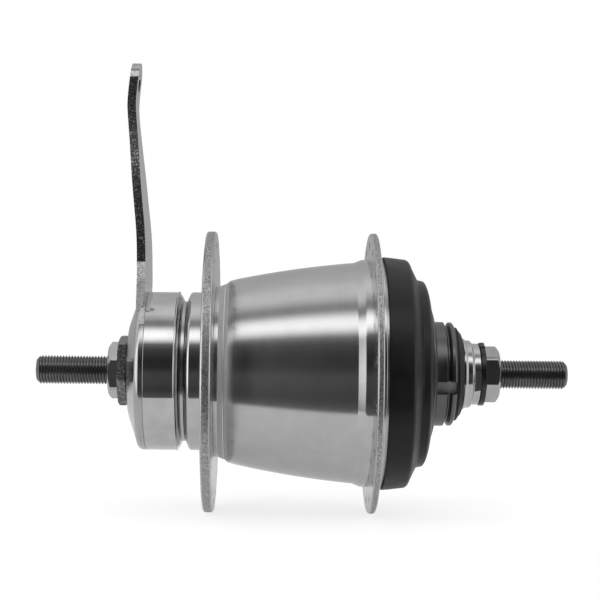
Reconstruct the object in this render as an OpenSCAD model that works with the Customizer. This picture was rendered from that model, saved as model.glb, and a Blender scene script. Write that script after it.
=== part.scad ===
// Internally geared rear hub with a coaster brake
// The axle lies along X: the brake arm is on the -X side, the driver on the +X side, and Z is up.
// The origin is on the axle's centre line, midway between the outer faces of the two locknuts.

/* [Axle] */
// Distance between the outer faces of the two locknuts
over_locknut = 130; // [127:0.5:134]
// Length of axle that stands out of the brake side locknut
axle_out_left = 24; // [18:0.5:32]
// Length of axle that stands out of the drive side locknut
axle_out_right = 23; // [18:0.5:32]
// Radius of the threaded axle ends
axle_r = 4.75; // [4.5:0.05:5]
// Radius of the thick middle of the axle, which carries the gears
core_r = 6.5; // [6:0.1:6.7]

/* [Nuts and washers] */
// Width across the flats of both locknuts
locknut_af = 17; // [15:0.5:18]
// Thickness of the brake side locknut
left_nut_t = 3.4; // [3:0.1:6]
// Thickness of the drive side locknut
right_nut_t = 5; // [3:0.1:6]
// Width across the flats of the nut that clamps the brake arm
arm_nut_af = 21; // [19:0.5:23]
// Thickness of the nut that clamps the brake arm
arm_nut_t = 2.8; // [2:0.1:4]
// Thickness of the plain washer under the arm nut
arm_washer_t = 0.6; // [0.4:0.1:1.5]
// Thickness of the tabbed washer under the drive side locknut
tab_washer_t = 1.6; // [1:0.1:2.5]
// Radius of the tabbed washer
tab_washer_r = 10.5; // [9.5:0.1:12]

/* [Brake arm] */
// Thickness of the arm's plate
arm_t = 2.8; // [2:0.1:3.5]
// Height of the centre of the arm's rounded tip above the axle
arm_reach = 96; // [86:1:120]
// Radius of the arm's rounded tip
arm_tip_r = 6.5; // [5.5:0.5:8]
// Radius of the hole in the arm's tip
arm_hole_r = 3; // [2.5:0.1:3.5]
// Width of the arm where it leaves the dished base
arm_root_w = 30; // [24:1:36]

/* [Brake cover] */
// Radius of the chrome cover's skirt
cover_r = 26.3; // [25.5:0.1:27]
// Wall of the cover's skirt
cover_wall = 1.5; // [1:0.1:2]
// Depth of the arm's dished base, from its flat face to its rim
dish_depth = 6.2; // [5.5:0.1:7]

/* [Shell] */
// Distance between the centres of the two flanges
flange_spacing = 53.7; // [52.5:0.1:56]
// Distance of the middle of the flanges from the middle of the hub, towards the brake side
flange_shift = 4.35; // [3.5:0.05:5]
// Radius of both flanges
flange_r = 46.7; // [45.5:0.1:50]
// Thickness of the brake side flange
left_flange_t = 3.4; // [2.4:0.1:4]
// Thickness of the drive side flange
right_flange_t = 2.2; // [2:0.1:3]
// Radius of the barrel just inside the brake side neck
barrel_left_r = 31; // [30.5:0.1:32]
// Radius of the barrel at the drive side, before it flares
barrel_right_r = 36.8; // [36.6:0.1:37.2]
// Radius of the shell under the drive side flange
shell_end_r = 37.9; // [37.7:0.1:38.5]

/* [Spoke holes] */
// Number of spoke holes in each flange
spoke_count = 18; // [14, 16, 18, 20]
// Distance of the circle of spoke holes outside the middle of the drive side flange's web
spoke_offset = 0.2; // [0:0.1:0.6]
// Radius of one spoke hole
spoke_hole_r = 1.45; // [1.2:0.05:1.6]
// Angle of the first spoke hole of the brake side flange from the top
spoke_phase = 12; // [0:1:19]

/* [Brake] */
// Radius of the brake drum, which is the shell's bore
drum_r = 26.5; // [26.3:0.1:27]
// Length of the brake shoes along the axle
shoe_len = 12; // [10:0.5:12]
// How far each shoe moves out to meet the drum
shoe_travel = 0.5; // [0.3:0.05:0.5]
// Angle that the brake cam turns to press the shoes out
cam_turn = 20; // [16:1:24]

/* [Gears] */
// Module of every gear: pitch diameter divided by the number of teeth
gear_module = 1; // [0.96:0.01:1]
// Width of the small planet wheels' teeth
small_planet_w = 7.5; // [6:0.5:7.5]
// Width of the large planet wheels' teeth
large_planet_w = 8.8; // [7:0.1:8.8]

/* [Bearings] */
// Radius of the balls of the brake side bearing
left_ball_r = 3.175; // [2.8:0.005:3.2]
// Radius of the balls of the two drive side bearings
right_ball_r = 2.38; // [2.2:0.01:2.4]

/* [Drive side] */
// Radius of the driver's seat for the sprocket
sprocket_seat_r = 17.4; // [17:0.1:17.6]
// Width of the driver's sprocket seat, up to the snap ring groove
sprocket_seat_w = 3.4; // [3:0.1:3.6]
// Width of each of the three sprocket slots
slot_w = 4; // [3:0.1:5]
// Radius of the dust cap's skirt
cap_r = 38.9; // [38.5:0.1:39.4]
// Wall of the dust cap
cap_wall = 1.5; // [1:0.1:1.6]

/* [Fits] */
// Radial gap between a part and the shaft or bore that it turns on
running_gap = 0.08; // [0.05:0.01:0.1]
// Radial gap between a thread and the part screwed onto it
thread_gap = 0.05; // [0.03:0.01:0.08]
// Gap between a ball and its races
ball_gap = 0.06; // [0.03:0.01:0.1]
// Gap between moving faces that never touch
face_gap = 0.3; // [0.2:0.05:0.35]

/* [Hidden] */

// Roundness of turned parts, and a small overlap for clean cuts
round_fn = 96;
cut = 1;

// Stations along the axle, from the brake side to the drive side
left_nut_x = -over_locknut / 2;
arm_nut_x = left_nut_x + left_nut_t;
arm_washer_x = arm_nut_x + arm_nut_t;
dish_x = arm_washer_x + arm_washer_t;
dish_rim_x = dish_x + dish_depth;
left_flange_x = -flange_shift - flange_spacing / 2;
right_flange_x = -flange_shift + flange_spacing / 2;
neck_end_x = left_flange_x - 7.65;
left_ball_x = neck_end_x + 4.25;
web_x = left_ball_x + left_ball_r + ball_gap;
web_t = 2.8;
drum_x = web_x + web_t;
anchor_t = 1.4;
anchor_x = drum_x + face_gap;
shoe_x = anchor_x + anchor_t + face_gap;
shoe_end_x = shoe_x + shoe_len;
clutch_x = shoe_end_x + 1;
hex_len = 6.6;
carrier_face_x = clutch_x + hex_len + 2;
planet_x = carrier_face_x + face_gap;
step_x = planet_x + small_planet_w;
planet_end_x = step_x + large_planet_w;
plate_x = planet_end_x + face_gap;
plate_t = 2;
plate_end_x = plate_x + plate_t;
cup_ball_x = right_flange_x + 1;
journal_x = cup_ball_x - 7;
journal_end_x = journal_x + 3;
cup_face_x = right_flange_x + 2.5;
cup_flange_t = 2;
cap_x = cup_face_x + 0.8;
cap_end_x = cap_x + 15.65;
seat_x = cap_x + 17.1;
groove_x = seat_x + sprocket_seat_w;
land_x = groove_x + 1.7;
driver_end_x = land_x + 1.5;
seal_end_x = driver_end_x + 2.7;
cone_ball_x = driver_end_x - 3.3;
web_end_x = cone_ball_x - 4.1;
web_start_x = web_end_x - 2.2;
right_nut_x = over_locknut / 2 - right_nut_t;
tab_washer_x = right_nut_x - tab_washer_t;
core_start_x = neck_end_x - 0.2;
core_end_x = cone_ball_x - 2;

// Radii that more than one part shares
spoke_circle_r = (flange_r + shell_end_r) / 2 + spoke_offset;
thread_bore_r = axle_r + thread_gap;
turning_bore_r = core_r + running_gap;
cone_boss_r = 9;
cone_disc_r = 23.3;
left_circle_r = 18.2;
cone_hub_r = 13.5;
neck_r = 26.35;
shell_bore_r = 32.2;
cup_thread_r = 34.4;
cup_circle_r = 27;
cup_bore_r = cup_circle_r + right_ball_r + ball_gap;
cup_flange_r = cap_r - 1.7;
journal_r = 22;
cone_circle_r = 11;
cone_cup_r = cone_circle_r + right_ball_r + ball_gap;
driver_cavity_r = 14;
web_bore_r = core_r + 2.4;
seal_bore_r = 12.4;
clutch_ring_x = journal_end_x + 5;
clutch_ring_end_x = clutch_ring_x + 5;
cap_opening_r = 22.7;

// Circlips and the shift sleeve that the second of them holds
circlip_t = 0.8;
circlip_seat_r = core_r - 0.6;
circlip_r = core_r + 1.8;
sleeve_x = journal_end_x + 2;
sleeve_len = 17.5;
circlip_stations = [plate_end_x + 0.9, sleeve_x + sleeve_len + face_gap];

// The arm's dished base, seen in section
dish_flat_r = 15;
dish_edge_r = 24;
dish_fillet = cover_r - dish_edge_r;
dish_slope_x = dish_x + dish_depth / 2;

// Bends of the arm, as [station, height] of the middle of its plate
arm_root = [dish_x + 2, 10];
arm_foot = [dish_x + 4.6, 27];
arm_knee = [dish_x + 4.3, 45];
arm_elbow = [dish_x, arm_reach - 8];
arm_end = [dish_x + 1.3, arm_reach + arm_tip_r];

// Lean of the plate at the hole in the arm's tip, and the middle of the hole
arm_lean = atan2(arm_end[0] - arm_elbow[0], arm_end[1] - arm_elbow[1]);
arm_hole_x = arm_elbow[0] + (arm_reach - arm_elbow[1]) * tan(arm_lean);

// Brake shoes, rollers and cam
shoe_r = drum_r - shoe_travel - 0.1;
shoe_bore_r = 17.2;
shoe_half_angle = 50;
roller_r = 2.5;
roller_circle_r = 15.2;
cam_gap = 0.1;
cam_r = roller_circle_r - roller_r - cam_gap;
cam_slope = shoe_travel / cam_turn;
cam_lead = 30;
cam_tail = 80;
cam_step = 10;
spring_w = 1;
spring_slot_w = 1.4;
spring_wire = 0.6;

// Gear teeth
planet_teeth = 18;
fixed_sun_teeth = 18;
small_planet_teeth = 15;
free_sun_teeth = fixed_sun_teeth + planet_teeth - small_planet_teeth;
ring_teeth = fixed_sun_teeth + 2 * planet_teeth;
pressure_angle = 20;
addendum = 0.85;
dedendum = 1.15;
backlash = 0.12;
flank_steps = 3;
planet_circle_r = gear_module * (fixed_sun_teeth + planet_teeth) / 2;
pin_r = 2.5;
ring_outer_r = ring_teeth * gear_module / 2 + 4;
ring_bore_r = ring_outer_r - 4.3;

// One-way clutch between the carrier and the shell
clutch_roller_r = 2.4;
clutch_circle_r = drum_r - clutch_roller_r - 0.2;
clutch_count = 6;
hex_flat = clutch_circle_r - clutch_roller_r - 0.2;
retainer_in_r = hex_flat / cos(30) + 0.3;
retainer_out_r = drum_r - 0.4;

// Pawls and ratchet
pawl_x = plate_end_x - 0.8;
pawl_w = 2.6;
pawl_count = 3;
pawl_pivot_r = 1.5;
pawl_circle_r = ring_outer_r - 2;
pawl_len = 6;
pawl_swing = 28;
pawl_phase = 30;
pawl_side_gap = 0.2;
pawl_spring_w = 0.7;
pawl_spring_t = 0.6;
pawl_spring_r = ring_outer_r - 3.2;
pawl_spring_x = pawl_x + 0.9;
ratchet_teeth = 24;
ratchet_phase = 4.5;
ratchet_tip_r = ring_outer_r + 0.6;
ratchet_root_r = ratchet_tip_r + 1.3;
cup_start_x = pawl_x - pawl_side_gap;

// Where the carrier's three posts stand, halfway between the planets
post_circle_r = planet_circle_r + 2;
post_r = 3;
flange_face_x = clutch_x + hex_len + face_gap;

// Three lugs of the driver sit in notches of the ring gear's end wall
lug_w = 6;
lug_r = journal_r + 2.4;
lug_gap = 0.3;

// Angles from the top of the driver's first sprocket slot and of the cone's spanner flats
slot_phase = 103;
flat_phase = 101;

// How far each hexagon nut is turned, and how far its turned corners stand outside its flats
left_nut_turn = 37;
arm_nut_turn = 12.2;
right_nut_turn = 23;
left_corner = 1;
arm_corner = 1.5;
right_corner = 0.9;
nut_chamfer = 1.4;

// Balls in each bearing
left_balls = 14;
outer_balls = 20;
cone_balls = 9;

function involute(a) = tan(a) * 180 / PI - a;

// Half the angle of a tooth at radius r, for a gear of n teeth
function tooth_half(n, r, slack) =
    let (base_r = gear_module * n / 2 * cos(pressure_angle))
    90 / n - slack + involute(pressure_angle) - involute(acos(min(1, base_r / r)));

// Outline of a gear of n teeth whose first tooth points along the first axis
function gear_points(n, tip_r, root_r, slack) =
    let (
        start_r = max(root_r, gear_module * n / 2 * cos(pressure_angle)),
        flank = [for (i = [0:flank_steps]) start_r + (tip_r - start_r) * i / flank_steps],
        foot = tooth_half(n, start_r, slack)
    )
    [for (t = [0:n - 1], p = concat(
        [[root_r, -foot]],
        [for (i = [0:flank_steps]) [flank[i], -tooth_half(n, flank[i], slack)]],
        [for (i = [flank_steps:-1:0]) [flank[i], tooth_half(n, flank[i], slack)]],
        [[root_r, foot]]
    )) let (a = t * 360 / n + p[1]) [p[0] * cos(a), p[0] * sin(a)]];

// Points of a curve that leaves a towards b and arrives at c from b
function curve(a, b, c, steps = 6) =
    [for (i = [0:steps]) let (t = i / steps)
        a * (1 - t) * (1 - t) + 2 * b * t * (1 - t) + c * t * t];

// A rounded bend at b: a curve between points on its two legs
function bend(a, b, c, share) = curve(b + (a - b) * share, b, b + (c - b) * share, 4);

// The points of an outline moved to its inner side
function inward(points, gap) =
    [for (i = [0:len(points) - 1])
        let (d = points[min(len(points) - 1, i + 1)] - points[max(0, i - 1)])
        points[i] + gap * [-d[1], d[0]] / norm(d)];

// Points of an arc about [r, x], as [radius, station]
function arc(centre_r, centre_x, size, from, to, steps = 6) =
    [for (i = [0:steps]) let (a = from + (to - from) * i / steps)
        [centre_r + size * cos(a), centre_x + size * sin(a)]];

// A body turned about the axle from an outline of [radius, station] points
module turned(points) {
    rotate([0, 90, 0]) rotate_extrude($fn = round_fn) polygon(points);
}

// A plain ring between two radii and two stations
module ring(inner, outer, from, to) {
    turned([[inner, from], [outer, from], [outer, to], [inner, to]]);
}

// A cylinder on the axle's line
module rod(r, from, to) {
    translate([from, 0, 0]) rotate([0, 90, 0]) cylinder(r = r, h = to - from, $fn = round_fn);
}

// Pushes a flat shape along the axle: its first axis becomes Y and its second Z
module along(from, to) {
    translate([from, 0, 0]) rotate([90, 0, 90]) linear_extrude(height = to - from) children();
}

// Copies its child round the axle
module around(count, phase = 0) {
    for (i = [0:count - 1]) rotate([phase + i * 360 / count, 0, 0]) children();
}

// A hexagon nut, turned by an angle from corners at the sides, with chamfered corners
module hex_nut(af, turn, corner_r, from, to, left_chamfer, right_chamfer) {
    difference() {
        intersection() {
            along(from, to) rotate(turn) circle(r = af / 2 / cos(30), $fn = 6);
            turned([
                [0, from], [corner_r - left_chamfer, from], [corner_r, from + left_chamfer * 0.7],
                [corner_r, to - right_chamfer * 0.7], [corner_r - right_chamfer, to], [0, to]
            ]);
        }
        rod(thread_bore_r, from - cut, to + cut);
    }
}

// Balls of one bearing
module ball_ring(count, ball_r, circle_r, x) {
    around(count) translate([x, 0, circle_r]) sphere(r = ball_r, $fn = 48);
}

// The ring that spaces them: its rim lies beside the balls and its fingers reach between them
module ball_retainer(count, ball_r, circle_r, x, inner, outer, from, to) {
    pocket_gap = 0.1;
    difference() {
        ring(inner, outer, from, to);
        around(count) translate([x, 0, circle_r]) sphere(r = ball_r + pocket_gap, $fn = 48);
    }
}

module axle() {
    chamfer = 1.2;
    start = left_nut_x - axle_out_left;
    end = -left_nut_x + axle_out_right;
    seat_r = axle_r - 0.02;
    relief_r = axle_r - 0.3;
    relief_out = 0.15;
    relief_in = 0.65;
    color("dimgray") difference() {
        turned([
            [0, start], [axle_r - chamfer, start], [axle_r, start + chamfer],
            [axle_r, left_nut_x - relief_out], [relief_r, left_nut_x - relief_out],
            [relief_r, left_nut_x + relief_in], [seat_r, left_nut_x + relief_in],
            [seat_r, core_start_x], [core_r, core_start_x], [core_r, core_end_x],
            [seat_r, core_end_x], [seat_r, -left_nut_x - relief_in],
            [relief_r, -left_nut_x - relief_in], [relief_r, -left_nut_x + relief_out],
            [axle_r, -left_nut_x + relief_out], [axle_r, end - chamfer],
            [axle_r - chamfer, end], [0, end]
        ]);
        for (x = circlip_stations) ring(circlip_seat_r, core_r + cut, x, x + circlip_t);
    }
}

// Circlips sit in grooves of the axle beside the carrier and the shift sleeve
module axle_circlips() {
    opening = 40;
    color("slategray") for (x = circlip_stations) {
        difference() {
            ring(circlip_seat_r, circlip_r, x, x + circlip_t);
            along(x - cut, x + circlip_t + cut) polygon([
                [0, 0], [-circlip_r * sin(opening), -circlip_r * cos(opening) * 2],
                [circlip_r * sin(opening), -circlip_r * cos(opening) * 2]
            ]);
        }
    }
}

module thrust_washers() {
    washer_r = core_r + 3;
    washer_t = 0.8;
    color("silver") {
        ring(core_r, washer_r, anchor_x + anchor_t - washer_t, anchor_x + anchor_t);
        ring(core_r, washer_r, plate_end_x + 0.1, plate_end_x + 0.1 + washer_t);
        ring(core_r, washer_r, sleeve_x - 0.1 - washer_t, sleeve_x - 0.1);
    }
}

module left_locknut() {
    color("silver")
        hex_nut(
            locknut_af, left_nut_turn, locknut_af / 2 + left_corner, left_nut_x, arm_nut_x, nut_chamfer, 0
        );
}

module arm_nut() {
    color("dimgray")
        hex_nut(
            arm_nut_af, arm_nut_turn, arm_nut_af / 2 + arm_corner, arm_nut_x, arm_washer_x, 0.8, 0.4
        );
}

module arm_washer() {
    color("gainsboro") ring(thread_bore_r, arm_nut_af / 2 - 0.2, arm_washer_x, dish_x);
}

module dish_blank(shrink) {
    turned(concat(
        [[0, dish_x + shrink], [dish_flat_r - shrink / 2, dish_x + shrink]],
        [[dish_edge_r - shrink, dish_slope_x + shrink * 0.8]],
        arc(dish_edge_r - shrink, dish_rim_x - 0.8, dish_fillet, -60, 0, 5),
        [[cover_r - shrink, dish_rim_x], [0, dish_rim_x]]
    ));
}

// Half width of the arm at each of its heights
arm_side = [
    [arm_root_w / 2 + 2, 8], [arm_root_w / 2, 30], [arm_root_w / 2 - 0.8, 44],
    [arm_root_w / 2 - 2, arm_reach * 0.6], [arm_tip_r + 5.4, arm_reach * 0.68],
    [arm_tip_r + 2.4, arm_reach * 0.77], [arm_tip_r + 0.4, arm_reach * 0.86], [arm_tip_r, arm_reach]
];

module arm_blade() {
    half = [arm_t / 2, 0];
    share = 0.3;
    arm_line = concat(
        [arm_root], bend(arm_root, arm_foot, arm_knee, share),
        bend(arm_foot, arm_knee, arm_elbow, share), bend(arm_knee, arm_elbow, arm_end, share),
        [arm_end + [0, 1]]
    );
    intersection() {
        rotate([90, 0, 0]) linear_extrude(height = 2 * arm_root_w, center = true)
            polygon(concat(
                [for (p = arm_line) p - half],
                [for (i = [len(arm_line) - 1:-1:0]) arm_line[i] + half]
            ));
        along(dish_x - 8, dish_x + 12) union() {
            polygon(concat(
                arm_side,
                [for (i = [len(arm_side) - 1:-1:0]) [-arm_side[i][0], arm_side[i][1]]]
            ));
            translate([0, arm_reach]) circle(r = arm_tip_r, $fn = round_fn);
        }
    }
}

module brake_arm() {
    color("lightgray") difference() {
        union() {
            dish_blank(0);
            arm_blade();
        }
        dish_blank(arm_t);
        rod(cover_r - arm_t, dish_rim_x - cut, dish_rim_x + cut);
        rod(cone_boss_r, dish_x - cut, dish_rim_x + cut);
        translate([arm_hole_x, 0, arm_reach]) rotate([0, 90 + arm_lean, 0])
            cylinder(r = arm_hole_r, h = 4 * arm_t, center = true, $fn = round_fn);
        ring(cover_r - cover_wall, cover_r + cut, dish_rim_x, neck_end_x);
    }
}

module brake_dust_cover() {
    rim_x = neck_end_x - 1.3;
    bevel_x = rim_x - 1.6;
    lip_r = cover_r + 0.25;
    color("gainsboro") turned([
        [cover_r - cover_wall, dish_rim_x], [cover_r, dish_rim_x], [cover_r, bevel_x - 0.4],
        [lip_r, bevel_x - 0.3], [lip_r, bevel_x], [cone_disc_r + 0.2, rim_x], [cone_disc_r, rim_x],
        [cone_disc_r, bevel_x - 1], [cover_r - cover_wall, bevel_x - 1]
    ]);
}

module left_brake_cone() {
    disc_x = neck_end_x - 5;
    disc_end_x = neck_end_x - 0.35;
    shoulder_r = dish_flat_r - arm_t / 2 - 0.2;
    color("slategray") difference() {
        turned([
            [0, dish_x], [cone_boss_r, dish_x], [cone_boss_r, dish_x + arm_t], [shoulder_r, dish_x + arm_t],
            [shoulder_r, disc_x], [cone_disc_r, disc_x], [cone_disc_r, disc_end_x],
            [left_circle_r, disc_end_x], [left_circle_r, left_ball_x], [cone_hub_r, left_ball_x],
            [cone_hub_r, anchor_x + anchor_t - 0.8], [0, anchor_x + anchor_t - 0.8]
        ]);
        rod(thread_bore_r, dish_x - cut, core_start_x + cut);
        rod(core_r, core_start_x, anchor_x + anchor_t + cut);
        race(left_circle_r, left_ball_x, left_ball_r);
    }
}

// The ring-shaped groove that a bearing's balls run in
module race(circle_r, x, ball_r) {
    rotate([0, 90, 0]) rotate_extrude($fn = round_fn)
        translate([circle_r, x]) circle(r = ball_r + ball_gap, $fn = 48);
}

module shoe_anchor() {
    finger_half = 5;
    finger_in_r = shoe_bore_r + 0.3;
    finger_out_r = 23.6;
    color("slategray") {
        ring(cone_hub_r, 24.5, anchor_x, anchor_x + anchor_t);
        intersection() {
            ring(finger_in_r, finger_out_r, anchor_x + anchor_t, shoe_end_x - 1);
            along(anchor_x, shoe_end_x) for (i = [0:2]) rotate(i * 120 - 90) polygon([
                [0, 0], [30 * cos(finger_half), 30 * sin(finger_half)],
                [30 * cos(finger_half), -30 * sin(finger_half)]
            ]);
        }
    }
}

// One shoe at the top: an arc of lining with a hollow for its roller and a groove for the spring
module brake_shoe(angle) {
    spring_x = (shoe_x + shoe_end_x) / 2;
    side = 40;
    color("darkgray") rotate([angle, 0, 0]) difference() {
        ring(shoe_bore_r, shoe_r, shoe_x, shoe_end_x);
        along(shoe_x - cut, shoe_end_x + cut) polygon([
            [0, 0], [side * sin(shoe_half_angle), side * cos(shoe_half_angle)], [side, -side],
            [-side, -side], [-side * sin(shoe_half_angle), side * cos(shoe_half_angle)]
        ]);
        translate([0, 0, roller_circle_r]) rod(roller_r, shoe_x - cut, shoe_end_x + cut);
        ring(shoe_r - 1.5, shoe_r + cut, spring_x - spring_slot_w / 2, spring_x + spring_slot_w / 2);
    }
}

module brake_roller(angle) {
    end_gap = 0.4;
    color("silver") rotate([angle, 0, 0]) translate([0, 0, roller_circle_r])
        rod(roller_r, shoe_x + end_gap, shoe_end_x - end_gap);
}

module shoe_spring() {
    x = (shoe_x + shoe_end_x - spring_w) / 2;
    inner = shoe_r - 1.5 + shoe_travel + 0.05;
    color("silver") difference() {
        ring(inner, inner + spring_wire, x, x + spring_w);
        along(x - cut, x + spring_w + cut) polygon([[0, 0], [-30, -3], [-30, 3]]);
    }
}

// Three ramps: each falls away in the braking direction, so turning the cam lifts the rollers
module brake_cam() {
    ramp = [for (a = [-cam_lead:cam_step:cam_tail]) a];
    color("slategray") difference() {
        along(shoe_x + face_gap, clutch_x - face_gap) polygon([
            for (i = [0:2], a = ramp) let (r = cam_r - cam_slope * a, b = i * 120 + 90 + a)
                [r * cos(b), r * sin(b)]
        ]);
        rod(turning_bore_r, shoe_x - cut, clutch_x + cut);
    }
}

module left_bearing_balls() {
    color("silver") ball_ring(left_balls, left_ball_r, left_circle_r, left_ball_x);
}

module left_ball_retainer() {
    rim_x = neck_end_x - 0.05;
    color("goldenrod") ball_retainer(
        left_balls, left_ball_r, left_circle_r, left_ball_x, left_circle_r + 0.4,
        left_circle_r + left_ball_r - 0.3, rim_x, left_ball_x - 0.6
    );
}

// The shell's outline runs from the brake side neck over the barrel to the drive side end
module hub_shell() {
    left_face = left_flange_x - left_flange_t / 2;
    right_face = left_flange_x + left_flange_t / 2;
    neck_face_r = 24;
    cove_x = right_face + 1.2;
    cove_r = 28.5;
    barrel_x = right_face + 7;
    flare_x = right_flange_x - right_flange_t / 2 - 5.4;
    flare_end_x = flare_x + 2.8;
    end_x = cup_face_x;
    opening_r = cone_hub_r + 0.8;
    bore_x = carrier_face_x - 0.5;
    barrel_mid_r = (barrel_left_r + barrel_right_r) / 2 + 1.2;
    color("lightgray") difference() {
        turned(concat(
            [[opening_r, neck_end_x], [neck_face_r, neck_end_x], [neck_r - 0.4, neck_end_x + 0.9]],
            [[neck_r, neck_end_x + 1.5], [neck_r, right_face], [cove_r, right_face], [cove_r, cove_x]],
            [[cove_r + 0.9, cove_x + 1.2], [cove_r + 1.9, cove_x + 2.8]],
            curve(
                [barrel_left_r, barrel_x], [barrel_mid_r, (barrel_x + flare_x) / 2],
                [barrel_right_r, flare_x]
            ),
            [[shell_end_r, flare_end_x], [shell_end_r, end_x]],
            [[cup_thread_r, end_x], [cup_thread_r, cup_start_x], [shell_bore_r, cup_start_x]],
            [[shell_bore_r, bore_x + 5.5], [drum_r, bore_x], [drum_r, drum_x], [opening_r, drum_x]]
        ));
        rod(left_circle_r + left_ball_r + ball_gap, neck_end_x - cut, left_ball_x);
        race(left_circle_r, left_ball_x, left_ball_r);
    }
}

module spoke_holes(x, phase) {
    around(spoke_count, phase) translate([0, 0, spoke_circle_r])
        rod(spoke_hole_r, x - 10, x + 10);
}

module left_flange() {
    x0 = left_flange_x - left_flange_t / 2;
    x1 = left_flange_x + left_flange_t / 2;
    rim = 0.7;
    color("gainsboro") difference() {
        turned([
            [neck_r, x0], [flange_r - rim, x0], [flange_r, x0 + rim],
            [flange_r, x1 - rim], [flange_r - rim, x1], [neck_r, x1]
        ]);
        spoke_holes(left_flange_x, spoke_phase);
    }
}

module right_flange() {
    x0 = right_flange_x - right_flange_t / 2;
    x1 = right_flange_x + right_flange_t / 2;
    rim = 0.5;
    lip_r = shell_end_r + 1.6;
    lip_edge = 0.4;
    color("gainsboro") difference() {
        turned([
            [shell_end_r, x0], [flange_r - rim, x0], [flange_r, x0 + rim], [flange_r, x1 - rim],
            [flange_r - rim, x1], [lip_r + lip_edge, x1], [lip_r, x1 + lip_edge],
            [lip_r, cup_face_x - lip_edge], [lip_r - lip_edge, cup_face_x], [shell_end_r, cup_face_x]
        ]);
        spoke_holes(right_flange_x, spoke_phase + 180 / spoke_count);
    }
}

module clutch_rollers() {
    color("silver") around(clutch_count) translate([0, 0, clutch_circle_r])
        rod(clutch_roller_r, clutch_x + 1.1, clutch_x + hex_len - 1.1);
}

module clutch_retainer() {
    pocket_gap = 0.1;
    color("goldenrod") difference() {
        ring(retainer_in_r, retainer_out_r, clutch_x, clutch_x + hex_len);
        around(clutch_count) translate([0, 0, clutch_circle_r])
            rod(clutch_roller_r + pocket_gap, clutch_x + 1, clutch_x + hex_len - 1);
    }
}

module planet_carrier() {
    disc_r = drum_r - 1.1;
    color("slategray") difference() {
        union() {
            along(clutch_x, flange_face_x + 0.5) circle(r = hex_flat / cos(30), $fn = 6);
            rod(disc_r, flange_face_x, carrier_face_x);
            around(3, 60) translate([0, 0, post_circle_r])
                rod(post_r, carrier_face_x - 0.5, plate_x);
        }
        rod(turning_bore_r, clutch_x - cut, carrier_face_x + cut);
        around(3) translate([0, 0, planet_circle_r]) rod(pin_r, clutch_x + 2, carrier_face_x + cut);
    }
}

module carrier_plate() {
    color("slategray") difference() {
        ring(turning_bore_r + 0.5, post_circle_r + post_r + 0.4, plate_x, plate_end_x);
        around(3) translate([0, 0, planet_circle_r]) rod(pin_r, plate_x - cut, plate_end_x + cut);
    }
}

module planet_pins() {
    color("silver") around(3) translate([0, 0, planet_circle_r])
        rod(pin_r, clutch_x + 2, plate_end_x);
}

// A gear's outline with its first tooth up, turned by a share of one tooth
module gear_shape(teeth, shift, slack = backlash / 2) {
    pitch_r = gear_module * teeth / 2;
    slack_angle = slack / pitch_r * 180 / PI;
    rotate(90 + shift * 360 / teeth) polygon(gear_points(
        teeth, pitch_r + addendum * gear_module, pitch_r - dedendum * gear_module, slack_angle
    ));
}

// The planet at the top: gaps face the suns below and the ring above
module planet_gear(angle) {
    color("silver") rotate([angle, 0, 0]) translate([0, 0, planet_circle_r]) difference() {
        union() {
            along(planet_x, step_x) gear_shape(small_planet_teeth, 0);
            along(step_x, planet_end_x) gear_shape(planet_teeth, 0.5);
        }
        rod(pin_r + running_gap, planet_x - cut, planet_end_x + cut);
    }
}

module fixed_sun_gear() {
    color("slategray") difference() {
        along(step_x + face_gap, planet_end_x) gear_shape(fixed_sun_teeth, 0);
        rod(core_r, step_x - cut, planet_end_x + cut);
    }
}

module free_sun_gear() {
    color("slategray") difference() {
        along(planet_x, step_x - face_gap) gear_shape(free_sun_teeth, 0);
        rod(turning_bore_r, planet_x - cut, step_x + cut);
    }
}

module pawl_place(angle) {
    rotate([angle, 0, 0]) translate([0, 0, pawl_circle_r]) children();
}

// A pawl: a round pivot, a finger that reaches sideways and a slot below for the ring spring,
// cut so that the pawl clears the spring over its whole swing
module drive_pawl(angle) {
    finger_t = 1.7;
    slot_side_gap = 0.15;
    slot_top = pawl_spring_r + pawl_spring_t + 0.15 - pawl_circle_r;
    color("dimgray") pawl_place(angle) difference() {
        along(pawl_x, pawl_x + pawl_w) union() {
            circle(r = pawl_pivot_r, $fn = 48);
            polygon([
                [0, -pawl_pivot_r], [pawl_len, -pawl_pivot_r], [pawl_len, finger_t - pawl_pivot_r],
                [pawl_len * 0.6, pawl_pivot_r * 0.8], [0, pawl_pivot_r]
            ]);
        }
        along(pawl_spring_x - slot_side_gap, pawl_spring_x + pawl_spring_w + slot_side_gap)
            for (a = [0, pawl_swing]) rotate(-a)
                translate([-2 * pawl_len, slot_top - pawl_len]) square([4 * pawl_len, pawl_len]);
    }
}

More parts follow.
